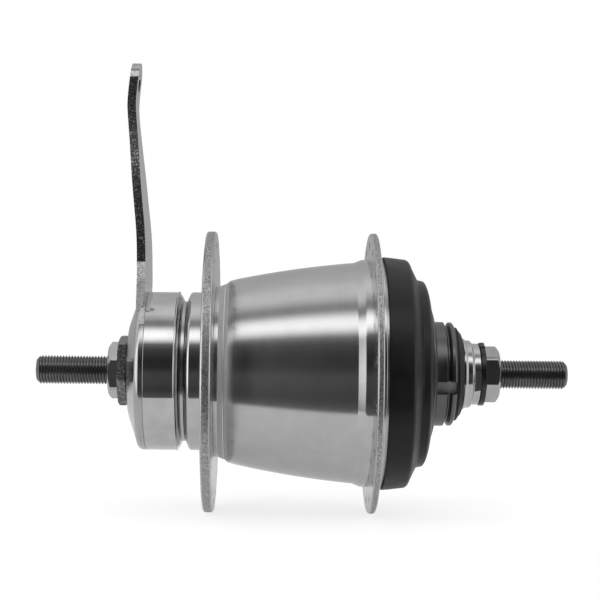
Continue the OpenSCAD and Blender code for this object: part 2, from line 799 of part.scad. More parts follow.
module ring_gear() {
    tooth_start = step_x + face_gap;
    pitch_r = gear_module * ring_teeth / 2;
    slack_angle = -backlash / 2 / pitch_r * 180 / PI;
    pocket_top = 6;
    color("slategray") difference() {
        turned([
            [pitch_r - 2, tooth_start], [ring_outer_r, tooth_start], [ring_outer_r, journal_end_x],
            [journal_r + running_gap, journal_end_x], [journal_r + running_gap, journal_x],
            [ring_bore_r, journal_x], [ring_bore_r, planet_end_x], [pitch_r - 2, planet_end_x]
        ]);
        along(tooth_start - cut, planet_end_x + cut) rotate(90 + 180 / ring_teeth) polygon(gear_points(
            ring_teeth, pitch_r + dedendum * gear_module, pitch_r - addendum * gear_module, slack_angle
        ));
        around(pawl_count, pawl_phase) translate([0, 0, pawl_circle_r])
            along(pawl_x - pawl_side_gap, pawl_x + pawl_w + pawl_side_gap) union() {
                circle(r = pawl_pivot_r + running_gap, $fn = 48);
                polygon([
                    [0, -pawl_pivot_r - running_gap], [pawl_len + 0.5, -pawl_pivot_r - running_gap],
                    [pawl_len + 0.5, pocket_top], [-0.4, pocket_top], [-0.4, 0]
                ]);
            }
        around(3, 60) along(journal_x - cut, journal_end_x + cut)
            translate([-lug_w / 2 - lug_gap, 0]) square([lug_w + 2 * lug_gap, lug_r + lug_gap]);
        ring(pawl_spring_r, ring_outer_r + cut, pawl_spring_x, pawl_spring_x + pawl_spring_w);
    }
}

// A split ring that lies in the ring gear's groove and in the slots of the pawls
module pawl_spring() {
    end_x = pawl_spring_x + pawl_spring_w;
    color("silver") difference() {
        ring(pawl_spring_r, pawl_spring_r + pawl_spring_t, pawl_spring_x, end_x);
        along(pawl_spring_x - cut, end_x + cut) polygon([[0, 0], [30, -2], [30, 2]]);
    }
}

// Closes the shell: thread, ratchet teeth for the pawls and the outer bearing's race
module right_ball_cup() {
    flange_end_x = cup_face_x + cup_flange_t;
    web_end = cup_ball_x - 1.2;
    color("slategray") difference() {
        turned([
            [journal_r + 1, cup_start_x], [cup_thread_r, cup_start_x], [cup_thread_r, cup_face_x],
            [cup_flange_r, cup_face_x], [cup_flange_r, flange_end_x], [cup_bore_r, flange_end_x],
            [cup_bore_r, cup_ball_x], [cup_circle_r, cup_ball_x], [cup_circle_r, web_end],
            [journal_r + 1, web_end]
        ]);
        along(cup_start_x - cut, journal_end_x + face_gap) rotate(ratchet_phase) polygon([
            for (i = [0:ratchet_teeth - 1], r = [ratchet_tip_r, ratchet_root_r])
                let (a = i * 360 / ratchet_teeth) [r * cos(a), r * sin(a)]
        ]);
        race(cup_circle_r, cup_ball_x, right_ball_r);
    }
}

// Outer outline of the black cap, from its skirt over a shoulder and a step to its opening
function cap_outline(steps) =
    let (shoulder_x = cap_x + 7.4, step_r = cap_r - 7.9, foot_x = cap_x + 11, dome_x = cap_x + 13.5)
    concat(
        [[cap_r, cap_x], [cap_r - 0.2, cap_x + 2.4]],
        curve(
            [cap_r - 0.8, shoulder_x], [cap_r - 1.2, shoulder_x + 1],
            [cap_r - 2.6, shoulder_x + 1.5], steps
        ),
        [[step_r + 1.1, foot_x], [step_r + 0.3, foot_x + 0.4]],
        curve([step_r, dome_x], [step_r - 0.7, dome_x + 1], [step_r - 6, cap_end_x - 0.35], steps),
        [[cap_opening_r, cap_end_x]]
    );

module right_dust_cap() {
    outer = cap_outline(6);
    inner = inward(cap_outline(2), cap_wall);
    color("#2b2b2b") turned(concat(
        outer,
        [[cap_opening_r, cap_end_x - cap_wall]],
        [for (i = [len(inner) - 2:-1:1]) inner[i]],
        [[cup_flange_r, cap_x + cup_flange_t], [cup_flange_r, cap_x]]
    ));
}

module outer_bearing_balls() {
    color("silver") ball_ring(outer_balls, right_ball_r, cup_circle_r, cup_ball_x);
}

module outer_ball_retainer() {
    color("goldenrod") ball_retainer(
        outer_balls, right_ball_r, cup_circle_r, cup_ball_x, cup_circle_r + 0.4,
        cup_bore_r - 0.35, cup_ball_x + 0.7, cup_ball_x + right_ball_r + 1
    );
}

// The driver: lugs, journal, bearing cone, dust flange, sprocket seat with three slots, and its end
module driver() {
    groove_r = 16;
    slot_depth = 2.2;
    slot_inset = 0.15;
    neck_r = sprocket_seat_r + 2.1;
    flange_r = cap_opening_r - 0.4;
    flange_x = cap_end_x - 1.3;
    land_r = sprocket_seat_r - 0.1;
    color("#3a3a3a") difference() {
        union() {
            turned([
                [driver_cavity_r, journal_x], [journal_r, journal_x], [journal_r, cup_ball_x],
                [cup_circle_r, cup_ball_x], [cup_circle_r, cup_ball_x + 3.6],
                [neck_r, cup_ball_x + 9], [neck_r, flange_x], [flange_r, flange_x + 0.6],
                [flange_r, cap_end_x + 0.45], [flange_r - 2.5, seat_x - 0.25],
                [sprocket_seat_r, seat_x], [sprocket_seat_r, groove_x],
                [groove_r, groove_x + 0.5], [groove_r, groove_x + 0.9], [land_r, land_x],
                [land_r, driver_end_x - 0.5], [land_r - 0.6, driver_end_x],
                [cone_cup_r, driver_end_x], [cone_cup_r, cone_ball_x], [cone_circle_r, cone_ball_x],
                [cone_circle_r, web_end_x], [web_bore_r, web_end_x],
                [web_bore_r, web_start_x], [driver_cavity_r, web_start_x]
            ]);
            around(3, 60) intersection() {
                along(journal_x, journal_end_x + cut) translate([-lug_w / 2, 0]) square([lug_w, lug_r]);
                ring(journal_r - cut, lug_r, journal_x + lug_gap, journal_end_x);
            }
        }
        race(cup_circle_r, cup_ball_x, right_ball_r);
        race(cone_circle_r, cone_ball_x, right_ball_r);
        around(3, slot_phase) along(seat_x + slot_inset, driver_end_x + cut)
            translate([-slot_w / 2, sprocket_seat_r - slot_depth]) square([slot_w, slot_depth + cut]);
    }
}

module driver_seal() {
    seal_r = 15.75;
    color("#232323") turned([
        [seal_bore_r, driver_end_x], [seal_r, driver_end_x], [seal_r - 0.2, seal_end_x - 1.5],
        [seal_r - 1.6, seal_end_x - 0.6], [seal_r - 1.9, seal_end_x - 0.2],
        [seal_r - 2.2, seal_end_x], [seal_bore_r, seal_end_x]
    ]);
}

// Slides in the driver's cavity against its spring
module sliding_clutch() {
    color("slategray") ring(core_r + 4.5, driver_cavity_r - running_gap, clutch_ring_x, clutch_ring_end_x);
}

// Wire spring between the sliding clutch and the driver's web, as one helix
module clutch_spring() {
    coil_r = driver_cavity_r - 1.6;
    wire_r = 0.5;
    turns = 4;
    per_turn = 8;
    sides = 6;
    steps = turns * per_turn;
    start = clutch_ring_end_x + wire_r + 0.1;
    pitch = (web_start_x - wire_r - 0.1 - start) / turns;
    points = [for (i = [0:steps], k = [0:sides - 1])
        let (a = i * 360 / per_turn, b = k * 360 / sides, r = coil_r + wire_r * cos(b))
        [start + pitch * i / per_turn + wire_r * sin(b), r * cos(a), r * sin(a)]];
    curl = per_turn * sides;
    echo(spring_gap = min([for (k = [0:sides - 1], j = [0:sides - 1]) points[curl + k][0] - points[j][0]]));
    skin = [for (i = [0:steps - 1], k = [0:sides - 1]) let (j = (k + 1) % sides)
        each [
            [i * sides + k, i * sides + j, (i + 1) * sides + j],
            [i * sides + k, (i + 1) * sides + j, (i + 1) * sides + k]
        ]];
    caps = [for (k = [1:sides - 2]) each [
        [0, k + 1, k],
        [steps * sides, steps * sides + k, steps * sides + k + 1]
    ]];
    color("silver") polyhedron(points = points, faces = concat(skin, caps));
}

module shift_sleeve() {
    cam_h = 1.2;
    cam_len = 3;
    sleeve_r = core_r + 2.2;
    color("silver") difference() {
        union() {
            rod(sleeve_r, sleeve_x, sleeve_x + sleeve_len);
            around(2) along(sleeve_x + 2, sleeve_x + 2 + cam_len)
                translate([-1.5, 0]) square([3, sleeve_r + cam_h]);
        }
        rod(turning_bore_r, sleeve_x - cut, sleeve_x + sleeve_len + cut);
    }
}

module cone_bearing_balls() {
    color("silver") ball_ring(cone_balls, right_ball_r, cone_circle_r, cone_ball_x);
}

module cone_ball_retainer() {
    color("goldenrod") ball_retainer(
        cone_balls, right_ball_r, cone_circle_r, cone_ball_x, cone_circle_r - 2.3,
        cone_circle_r - 0.4, web_end_x + 0.4, cone_ball_x - 0.6
    );
}

// The right cone: race, dust flange, stepped nose and two spanner flats
module right_cone() {
    dust_x = seal_end_x + 0.4;
    dust_r = 12;
    body_r = 11.2;
    nose_r = 10.2;
    nose_x = dust_x + 3.3;
    flat_half = 9.7;
    color("silver") difference() {
        turned([
            [0, core_end_x], [cone_circle_r - right_ball_r - 0.3, core_end_x],
            [cone_circle_r - right_ball_r - 0.3, cone_ball_x], [cone_circle_r, cone_ball_x],
            [cone_circle_r, dust_x], [dust_r, dust_x], [dust_r, dust_x + 0.5],
            [body_r + 0.2, dust_x + 1.1], [body_r, nose_x - 0.5], [nose_r + 0.2, nose_x],
            [nose_r, tab_washer_x], [0, tab_washer_x]
        ]);
        rod(thread_bore_r, core_end_x - cut, tab_washer_x + cut);
        race(cone_circle_r, cone_ball_x, right_ball_r);
        for (a = [0, 180]) rotate([a + flat_phase, 0, 0])
            translate([nose_x + 0.2, -20, flat_half]) cube([20, 40, 20]);
    }
}

module lock_washer() {
    tab_w = 4;
    tab_h = 1.2;
    color("#2e2e2e") difference() {
        union() {
            ring(thread_bore_r, tab_washer_r, tab_washer_x, right_nut_x);
            around(1, 20) along(tab_washer_x, right_nut_x)
                translate([-tab_w / 2, tab_washer_r - 1]) square([tab_w, tab_h]);
        }
        rod(thread_bore_r, tab_washer_x - cut, right_nut_x + cut);
    }
}

module right_locknut() {
    color("silver")
        hex_nut(
            locknut_af, right_nut_turn, locknut_af / 2 + right_corner, right_nut_x, -left_nut_x,
            0.3, nut_chamfer
        );
}

axle();
left_locknut();
arm_nut();
arm_washer();
brake_arm();
brake_dust_cover();
left_brake_cone();
shoe_anchor();
brake_shoe(0);  // brake_shoe_1
brake_shoe(120);  // brake_shoe_2
brake_shoe(240);  // brake_shoe_3
brake_roller(0);  // brake_roller_1
brake_roller(120);  // brake_roller_2
brake_roller(240);  // brake_roller_3
shoe_spring();
brake_cam();
left_bearing_balls();
left_ball_retainer();
hub_shell();
left_flange();
right_flange();
clutch_rollers();
clutch_retainer();
planet_carrier();
carrier_plate();
planet_pins();
planet_gear(0);  // planet_gear_1
planet_gear(120);  // planet_gear_2
planet_gear(240);  // planet_gear_3
fixed_sun_gear();
free_sun_gear();
ring_gear();
drive_pawl(pawl_phase);  // drive_pawl_1
drive_pawl(pawl_phase + 120);  // drive_pawl_2
drive_pawl(pawl_phase + 240);  // drive_pawl_3
pawl_spring();
right_ball_cup();
right_dust_cap();
outer_bearing_balls();
outer_ball_retainer();
driver();
driver_seal();
sliding_clutch();
clutch_spring();
shift_sleeve();
cone_bearing_balls();
cone_ball_retainer();
right_cone();
lock_washer();
right_locknut();
axle_circlips();
thrust_washers();
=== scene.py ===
"""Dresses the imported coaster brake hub: turned shell, flanges, cover, arm, cap, driver, cone and nuts."""

import logging
import math
from collections.abc import Callable, Iterator, Mapping, Sequence
from contextlib import contextmanager
from dataclasses import dataclass
from enum import Enum

import bpy
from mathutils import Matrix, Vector


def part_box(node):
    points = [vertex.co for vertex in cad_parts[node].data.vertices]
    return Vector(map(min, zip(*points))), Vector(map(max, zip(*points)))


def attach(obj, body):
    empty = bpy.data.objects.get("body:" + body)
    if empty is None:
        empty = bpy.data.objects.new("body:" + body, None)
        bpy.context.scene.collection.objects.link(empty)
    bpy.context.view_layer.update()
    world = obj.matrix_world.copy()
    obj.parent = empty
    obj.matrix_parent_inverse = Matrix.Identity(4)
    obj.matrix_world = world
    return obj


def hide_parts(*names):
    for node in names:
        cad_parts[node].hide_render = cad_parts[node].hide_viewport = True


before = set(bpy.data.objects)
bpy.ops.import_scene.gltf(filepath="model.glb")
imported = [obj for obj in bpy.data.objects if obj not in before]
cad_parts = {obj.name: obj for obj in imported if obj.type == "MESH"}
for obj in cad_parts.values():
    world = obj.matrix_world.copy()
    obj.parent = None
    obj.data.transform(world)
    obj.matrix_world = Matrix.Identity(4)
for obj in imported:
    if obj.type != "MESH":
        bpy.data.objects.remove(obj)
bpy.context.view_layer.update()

LOG = logging.getLogger("hub")
MM = 0.001
STEPS = 192
MOST_CUT = 0.45
LOCKNUT_HALF = 8.5
CLOUD_SCALE = 140
PATCH_SCALE = 180
Pair = tuple[float, float]
Triple = tuple[float, float, float]
Outline = list[Pair]
Line = Sequence[Pair]
Corners = Sequence[Triple]
Socket = bpy.types.NodeSocket
Sockets = Mapping[str, Socket]
Piece = bpy.types.Object


class Body(Enum):
    """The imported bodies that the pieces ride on."""

    AXLE = "axle_group"
    SHELL = "shell"
    DRIVER = "driver"


class Join(Enum):
    """The ways in which a tool solid acts on a piece."""

    CUT = "DIFFERENCE"
    ADD = "UNION"
    TRIM = "INTERSECT"


# Modelling moves


def deselect() -> None:
    """Leaves edit mode and selects nothing."""
    if bpy.context.object and bpy.context.object.mode != "OBJECT":
        bpy.ops.object.mode_set(mode="OBJECT")
    bpy.ops.object.select_all(action="DESELECT")


def pick(piece: Piece) -> None:
    """Makes one piece the selected and active one.

    Args:
        piece: The piece.
    """
    deselect()
    piece.select_set(True)
    bpy.context.view_layer.objects.active = piece


@contextmanager
def editing(piece: Piece) -> Iterator[None]:
    """Selects all of a piece in edit mode, and leaves that mode again.

    Args:
        piece: The piece.

    Yields:
        Nothing, while it is edited.
    """
    pick(piece)
    bpy.ops.object.mode_set(mode="EDIT")
    bpy.ops.mesh.select_all(action="SELECT")
    yield
    bpy.ops.object.mode_set(mode="OBJECT")


def settle(piece: Piece) -> None:
    """Puts a piece's place, turn and size into its mesh."""
    pick(piece)
    bpy.ops.object.transform_apply(location=True, rotation=True, scale=True)


def added() -> Piece:
    """Settles the primitive that was just added.

    Returns:
        The primitive.
    """
    piece = bpy.context.object
    settle(piece)
    return piece


def unite(pieces: Sequence[Piece]) -> Piece:
    """Joins pieces into the first one, with their skins kept apart.

    Args:
        pieces: The pieces.

    Returns:
        The first piece.
    """
    deselect()
    for piece in pieces:
        piece.select_set(True)
    bpy.context.view_layer.objects.active = pieces[0]
    bpy.ops.object.join()
    return pieces[0]


def close_up(piece: Piece, gap: float = 1e-6) -> None:
    """Merges doubled points and turns every face outwards.

    Args:
        piece: The piece, as one closed skin or several.
        gap: The distance in metres within which points are merged.
    """
    with editing(piece):
        bpy.ops.mesh.remove_doubles(threshold=gap)
        bpy.ops.mesh.normals_make_consistent(inside=False)


def apply_modifier(piece: Piece, kind: str, **settings: object) -> None:
    """Adds a modifier to a piece and applies it at once.

    Args:
        piece: The piece to shape.
        kind: The modifier's type, such as BEVEL.
        **settings: Values of the modifier's own settings.
    """
    pick(piece)
    modifier = piece.modifiers.new(kind.title(), kind)
    for name, value in settings.items():
        setattr(modifier, name, value)
    bpy.ops.object.modifier_apply(modifier=modifier.name)


def combine(piece: Piece, tool: Piece, way: Join) -> None:
    """Lets a tool solid act on a piece, and deletes the tool.

    Args:
        piece: The piece that stays.
        tool: The solid that acts on it.
        way: What the tool does.
    """
    apply_modifier(piece, "BOOLEAN", object=tool, operation=way.value, solver="EXACT")
    bpy.data.objects.remove(tool)


def round_edges(piece: Piece, width: float, segments: int = 3, angle: float = 40) -> None:
    """Rounds the edges that are sharper than an angle.

    Args:
        piece: The piece to finish.
        width: Width of the rounding in millimetres.
        segments: Number of faces across it.
        angle: Smallest angle in degrees that counts as an edge.
    """
    apply_modifier(
        piece,
        "BEVEL",
        width=width * MM,
        segments=segments,
        limit_method="ANGLE",
        angle_limit=math.radians(angle),
        miter_outer="MITER_ARC",
        use_clamp_overlap=True,
    )


def shade(piece: Piece, angle: float = 35) -> None:
    """Shades a piece smooth up to an angle, with flat faces kept flat.

    Args:
        piece: The piece to shade.
        angle: Largest angle in degrees that is shaded smooth.
    """
    pick(piece)
    bpy.ops.object.shade_smooth_by_angle(angle=math.radians(angle))
    apply_modifier(piece, "WEIGHTED_NORMAL", keep_sharp=True, weight=100)


def bow(start: Pair, pull: Pair, end: Pair, steps: int) -> Outline:
    """Bends a smooth curve from one outline point to another.

    Args:
        start: First point, as station and radius.
        pull: Point that the curve bends towards.
        end: Last point.
        steps: Number of spans.

    Returns:
        The points, both ends included.
    """
    spans = [i / steps for i in range(steps + 1)]
    return [
        tuple((1 - t) ** 2 * a + 2 * t * (1 - t) * b + t * t * c for a, b, c in zip(start, pull, end))
        for t in spans
    ]


def rounded(corners: Corners, steps: int = 4) -> Outline:
    """Rounds the corners of an outline.

    Args:
        corners: Points as station, radius and the size of the rounding.
        steps: Number of spans in each rounding.

    Returns:
        The outline's points as station and radius.
    """
    points: Outline = []
    last = len(corners) - 1
    for index, (x, r, size) in enumerate(corners):
        if size <= 0:
            points.append((x, r))
            continue
        here = Vector((x, r))
        before = Vector(corners[index - 1][:2]) - here
        after = Vector(corners[0 if index == last else index + 1][:2]) - here
        cut = min(size, MOST_CUT * before.length, MOST_CUT * after.length)
        start = here + before.normalized() * cut
        end = here + after.normalized() * cut
        points += bow(tuple(start), (x, r), tuple(end), steps)
    return points


def placed(profile: Corners, x: float, r: float) -> Corners:
    """Moves a profile that is measured from a station and a radius to its place."""
    return [(x + dx, r + dr, size) for dx, dr, size in profile]


def groove(race: Triple, start: float, end: float, steps: int) -> Outline:
    """Gives points of an arc, such as the groove of a ball race.

    Args:
        race: Station and radius of the arc's centre, and the arc's own radius.
        start: First angle in degrees, counted from +X towards larger radii.
        end: Last angle.
        steps: Number of spans.

    Returns:
        The points, both ends included.
    """
    angles = [math.radians(start + (end - start) * i / steps) for i in range(steps + 1)]
    return [(race[0] + race[2] * math.cos(a), race[1] + race[2] * math.sin(a)) for a in angles]


def turn(outline: Outline, steps: int = STEPS, ends: bool = False) -> Piece:
    """Turns a piece about the axle's line, ring after ring, as on a lathe.

    Args:
        outline: Points of its section as station and radius in millimetres.
        steps: Number of faces round the axle.
        ends: True closes both ends with a flat face, false closes the section on itself.

    Returns:
        The piece, closed and with its faces outwards.
    """
    deselect()
    x, r = outline[0]
    bpy.ops.mesh.primitive_circle_add(
        vertices=steps,
        radius=r * MM,
        fill_type="NGON" if ends else "NOTHING",
        location=(x * MM, 0, 0),
        rotation=(0, math.pi / 2, 0),
    )
    piece = added()
    path = list(outline) if ends else [*outline, outline[0]]
    extrude = bpy.ops.mesh.extrude_region_move if ends else bpy.ops.mesh.extrude_edges_move
    with editing(piece):
        for (x0, r0), (x1, r1) in zip(path, path[1:]):
            extrude(TRANSFORM_OT_translate={"value": ((x1 - x0) * MM, 0, 0)})
            bpy.ops.transform.resize(value=(1, r1 / r0, r1 / r0), center_override=(x1 * MM, 0, 0))
    close_up(piece)
    return piece


def turn_smooth(outline: Outline, steps: int = STEPS) -> Piece:
    """Turns a closed section and shades it.

    Args:
        outline: Points of the section.
        steps: Number of faces round the axle.

    Returns:
        The shaded piece.
    """
    piece = turn(outline, steps)
    shade(piece)
    return piece


def follow(line: Line, level: float) -> float:
    """Reads a smooth line at a level.

    Args:
        line: Points as level and value, in rising order.
        level: The level to read.

    Returns:
        The value there, held at the line's two ends.
    """
    if level <= line[0][0]:
        return line[0][1]
    if level >= line[-1][0]:
        return line[-1][1]
    index = max(i for i, point in enumerate(line[:-1]) if point[0] <= level)
    (a, p), (b, q) = line[index], line[index + 1]
    before = line[max(0, index - 1)]
    after = line[min(len(line) - 1, index + 2)]
    slope_in = (q - before[1]) / (b - before[0])
    slope_out = (after[1] - p) / (after[0] - a)
    t = (level - a) / (b - a)
    rise = b - a
    return (
        p * (1 + 2 * t) * (1 - t) ** 2
        + slope_in * rise * t * (1 - t) ** 2
        + q * t * t * (3 - 2 * t)
        + slope_out * rise * t * t * (t - 1)
    )


def pins(count: int, circle: float, size: float, span: Pair, first: float) -> Piece:
    """Makes a ring of round pins that cut holes.

    Args:
        count: Number of pins.
        circle: Radius of the circle that they stand on.
        size: Radius of one pin.
        span: First and last station.
        first: Angle of the first pin from the top, in degrees.

    Returns:
        The pins as one tool solid.
    """
    deselect()
    made = []
    for index in range(count):
        angle = math.radians(first + index * 360 / count)
        bpy.ops.mesh.primitive_cylinder_add(
            vertices=24,
            radius=size * MM,
            depth=(span[1] - span[0]) * MM,
            location=(
                (span[0] + span[1]) / 2 * MM,
                -math.sin(angle) * circle * MM,
                math.cos(angle) * circle * MM,
            ),
            rotation=(0, math.pi / 2, 0),
        )
        made.append(bpy.context.object)
    drill = unite(made)
    settle(drill)
    return drill


def block(low: Triple, high: Triple, angle: float) -> Piece:
    """Makes a box between two corners, turned about the axle's line.

    Args:
        low: Lowest corner in millimetres.
        high: Highest corner.
        angle: Angle about the axle in degrees.

    Returns:
        The box.
    """
    deselect()
    middle = [(a + b) / 2 * MM for a, b in zip(low, high)]
    bpy.ops.mesh.primitive_cube_add(size=1, location=middle)
    piece = bpy.context.object
    piece.scale = [(b - a) * MM for a, b in zip(low, high)]
    settle(piece)
    piece.rotation_euler = (math.radians(angle), 0, 0)
    settle(piece)
    return piece


# Finishes


class Graph:
    """The nodes of one material or of the world."""

    def __init__(self, tree: bpy.types.NodeTree) -> None:
        """Starts with an empty tree."""
        self.tree = tree
        tree.nodes.clear()

    def place(self, kind: str = "Object") -> Socket:
        """Gives coordinates, at first the object's own."""
        return self.add("TexCoord", {}).outputs[kind]

    def fill(self, node: bpy.types.Node, inputs: Mapping[str | int, object]) -> None:
        """Joins a node's inputs to other nodes, or gives them constants.

        Args:
            node: The node.
            inputs: Another node's output, a number or a colour for each input's name or number.
        """
        for name, value in inputs.items():
            if isinstance(value, Socket):
                self.tree.links.new(value, node.inputs[name])
            else:
                node.inputs[name].default_value = value

    def add(self, kind: str, inputs: Mapping[str | int, object], **settings: object) -> bpy.types.Node:
        """Adds a node.

        Args:
            kind: The node's type, without the word that all types start with.
            inputs: What its inputs get.
            **settings: Values of the node's own settings.

        Returns:
            The node.
        """
        node = self.tree.nodes.new(f"ShaderNode{kind}")
        for name, value in settings.items():
            setattr(node, name, value)
        self.fill(node, inputs)
        return node

    def maths(self, operation: str, *values: object) -> Socket:
        """Adds a Math node on outputs or numbers and returns its output."""
        return self.add("Math", dict(enumerate(values)), operation=operation).outputs[0]

    def vector_maths(self, operation: str, *values: object) -> Sockets:
        """Adds a Vector Math node and returns its outputs."""
        return self.add("VectorMath", dict(enumerate(values)), operation=operation).outputs

    def vector(self, *values: object) -> Socket:
        """Combines three outputs or numbers into a vector."""
        return self.add("CombineXYZ", dict(enumerate(values))).outputs[0]

    def split(self, place: Socket) -> Sockets:
        """Splits a vector into its outputs X, Y and Z."""
        return self.add("SeparateXYZ", {0: place}).outputs

    def noise(self, place: Socket, scale: float, detail: float = 3) -> Socket:
        """Adds a noise texture on a place and returns its value."""
        return self.add("TexNoise", {"Vector": place, "Scale": scale, "Detail": detail}).outputs["Fac"]

    def ramp(self, value: Socket, stops: Line) -> Socket:
        """Adds a grey ramp.

        Args:
            value: The place on the ramp, from 0 to 1.
            stops: Places and their levels of grey.

        Returns:
            The ramp's colour.
        """
        node = self.add("ValToRGB", {"Fac": value})
        elements = node.color_ramp.elements
        while len(elements) < len(stops):
            elements.new(1)
        for element, (place, level) in zip(elements, stops):
            element.position = place
            element.color = (level, level, level, 1)
        return node.outputs["Color"]

    def spread(self, value: Socket, low: float, high: float, span: Sequence[float] = (0.3, 0.7)) -> Socket:
        """Maps a span of a value onto low to high."""
        ends = {"From Min": span[0], "From Max": span[1], "To Min": low, "To Max": high}
        return self.add("MapRange", {"Value": value, **ends}).outputs["Result"]

    def bump(self, height: Socket, depth: float) -> Socket:
        """Adds a bump of a depth in millimetres and returns its normal."""
        return self.add("Bump", {"Height": height, "Strength": 1, "Distance": depth * MM}).outputs["Normal"]

    def finish(self, shader: bpy.types.Node, kind: str = "Material") -> None:
        """Joins a shader to the output of the material or the world."""
        self.add(f"Output{kind}", {"Surface": shader.outputs[0]})


@dataclass(frozen=True)
class Finish:
    """A finish that is painted once and shared by all its pieces."""

    name: str

    def material(self) -> bpy.types.Material:
        """Builds the finish on the object's own coordinates, or finds it if it is made already.

        Returns:
            The material.
        """
        found = bpy.data.materials.get(self.name)
        if found:
            return found
        made = bpy.data.materials.new(self.name)
        made.use_nodes = True
        graph = Graph(made.node_tree)
        graph.finish(graph.add("BsdfPrincipled", self.paint(graph)))
        return made

    def paint(self, graph: Graph) -> dict[str, object]:
        """Says what the shader's inputs get.

        Args:
            graph: The material's nodes.

        Returns:
            A value or another node's output for each input.
        """
        raise NotImplementedError


@dataclass(frozen=True)
class TurnedMetal(Finish):
    """Metal with fine lines round the axle, from a mirror to a brushed finish."""

    tone: float = 0.55
    roughness: float = 0.2
    brushed: float = 0.0
    line_size: float = 0.12
    line_tone: float = 0.05
    line_depth: float = 0.0
    cloud: float = 0.03
    warmth: float = 0.0

    def lines(self, graph: Graph, station: Socket, outward: Socket) -> Socket:
        """Draws lines that run round the axle, on turned sides and on end faces.

        Args:
            graph: The material's nodes.
            station: The place along the axle.
            outward: The way from the axle to the place.

        Returns:
            The lines' value.
        """
        off = graph.vector_maths("LENGTH", outward)["Value"]
        per_line = 1 / (self.line_size * MM)
        along = graph.maths("MULTIPLY", station, per_line)
        lane = graph.maths("ADD", along, graph.maths("MULTIPLY", off, per_line))
        side = graph.split(graph.vector_maths("NORMALIZE", outward)[0])
        return graph.noise(graph.vector(lane, side["Y"], side["Z"]), 1.0, 4)

    def tangent(self, graph: Graph, outward: Socket) -> Socket:
        """Gives the direction in which brushed metal stretches its highlights.

        Args:
            graph: The material's nodes.
            outward: The way from the axle to the place.

        Returns:
            The direction, square to the brushing.
        """
        radial = graph.vector_maths("NORMALIZE", outward)[0]
        round_axle = graph.vector_maths("CROSS_PRODUCT", (1, 0, 0), radial)[0]
        ways = {"vector_type": "VECTOR", "convert_from": "OBJECT", "convert_to": "WORLD"}
        brushing = graph.add("VectorTransform", {0: round_axle}, **ways).outputs[0]
        normal = graph.add("NewGeometry", {}).outputs["Normal"]
        return graph.vector_maths("CROSS_PRODUCT", normal, brushing)[0]

    def paint(self, graph: Graph) -> dict[str, object]:
        """Paints lines and soft clouds on bare metal.

        Args:
            graph: The material's nodes.

        Returns:
            A value or another node's output for each input.
        """
        place = graph.place()
        parts = graph.split(place)
        outward = graph.vector(0, parts["Y"], parts["Z"])
        lines = self.lines(graph, parts["X"], outward)
        tone = graph.maths(
            "ADD",
            graph.spread(lines, -self.line_tone, self.line_tone),
            graph.spread(graph.noise(place, CLOUD_SCALE), self.tone - self.cloud, self.tone + self.cloud),
        )
        green = graph.maths("MULTIPLY", tone, 1 - self.warmth * 0.4)
        blue = graph.maths("MULTIPLY", tone, 1 - self.warmth)
        surface = {
            "Metallic": 1,
            "Anisotropic": self.brushed,
            "Base Color": graph.add("CombineColor", {0: tone, 1: green, 2: blue}).outputs[0],
            "Roughness": graph.spread(lines, self.roughness * 0.8, self.roughness * 1.2),
        }
        if self.brushed:
            surface["Tangent"] = self.tangent(graph, outward)
        if self.line_depth:
            surface["Normal"] = graph.bump(lines, self.line_depth)
        return surface


@dataclass(frozen=True)
class CoatedBlack(Finish):
    """Black paint, oxide or moulded plastic with a fine grain."""

    tone: float = 0.012
    roughness: float = 0.38
    metallic: float = 0.0
    grain_size: float = 0.25
    grain_depth: float = 0.004
    dust: float = 0.004
    shine: float = 0.5

    def paint(self, graph: Graph) -> dict[str, object]:
        """Paints a dark coat with grain and dust.

        Args:
            graph: The material's nodes.

        Returns:
            A value or another node's output for each input.
        """
        place = graph.place()
        grain = graph.noise(place, 1 / (self.grain_size * MM), 4)
        cloud = graph.noise(place, PATCH_SCALE, 4)
        tone = graph.maths(
            "ADD",
            graph.spread(grain, -self.dust, self.dust),
            graph.spread(cloud, self.tone, self.tone + 2 * self.dust),
        )
        return {
            "Metallic": self.metallic,
            "Specular IOR Level": self.shine,
            "Base Color": tone,
            "Roughness": graph.spread(cloud, self.roughness * 0.85, self.roughness * 1.15),
            "Normal": graph.bump(grain, self.grain_depth),
        }


@dataclass(frozen=True)
class SpeckledSteel(Finish):
    """Rough sheared or cast steel: dark, with bright flecks."""

    dark: float = 0.05
    bright: float = 0.6
    flecks: float = 0.62
    fleck_size: float = 0.5
    roughness: float = 0.35
    depth: float = 0.08
    metallic: float = 1.0

    def paint(self, graph: Graph) -> dict[str, object]:
        """Paints bright flecks and pits on dark steel.

        Args:
            graph: The material's nodes.

        Returns:
            A value or another node's output for each input.
        """
        place = graph.place()
        fleck = graph.noise(place, 1 / (self.fleck_size * MM), 5)
        pits = graph.noise(place, 2.3 / (self.fleck_size * MM), 2)
        stops = ((0.0, self.dark), (self.flecks - 0.08, self.dark * 2), (self.flecks + 0.06, self.bright))
        return {
            "Metallic": self.metallic,
            "Base Color": graph.ramp(fleck, stops),
            "Roughness": graph.spread(pits, self.roughness * 0.7, self.roughness * 1.4),
            "Normal": graph.bump(graph.maths("ADD", fleck, pits), self.depth),
        }


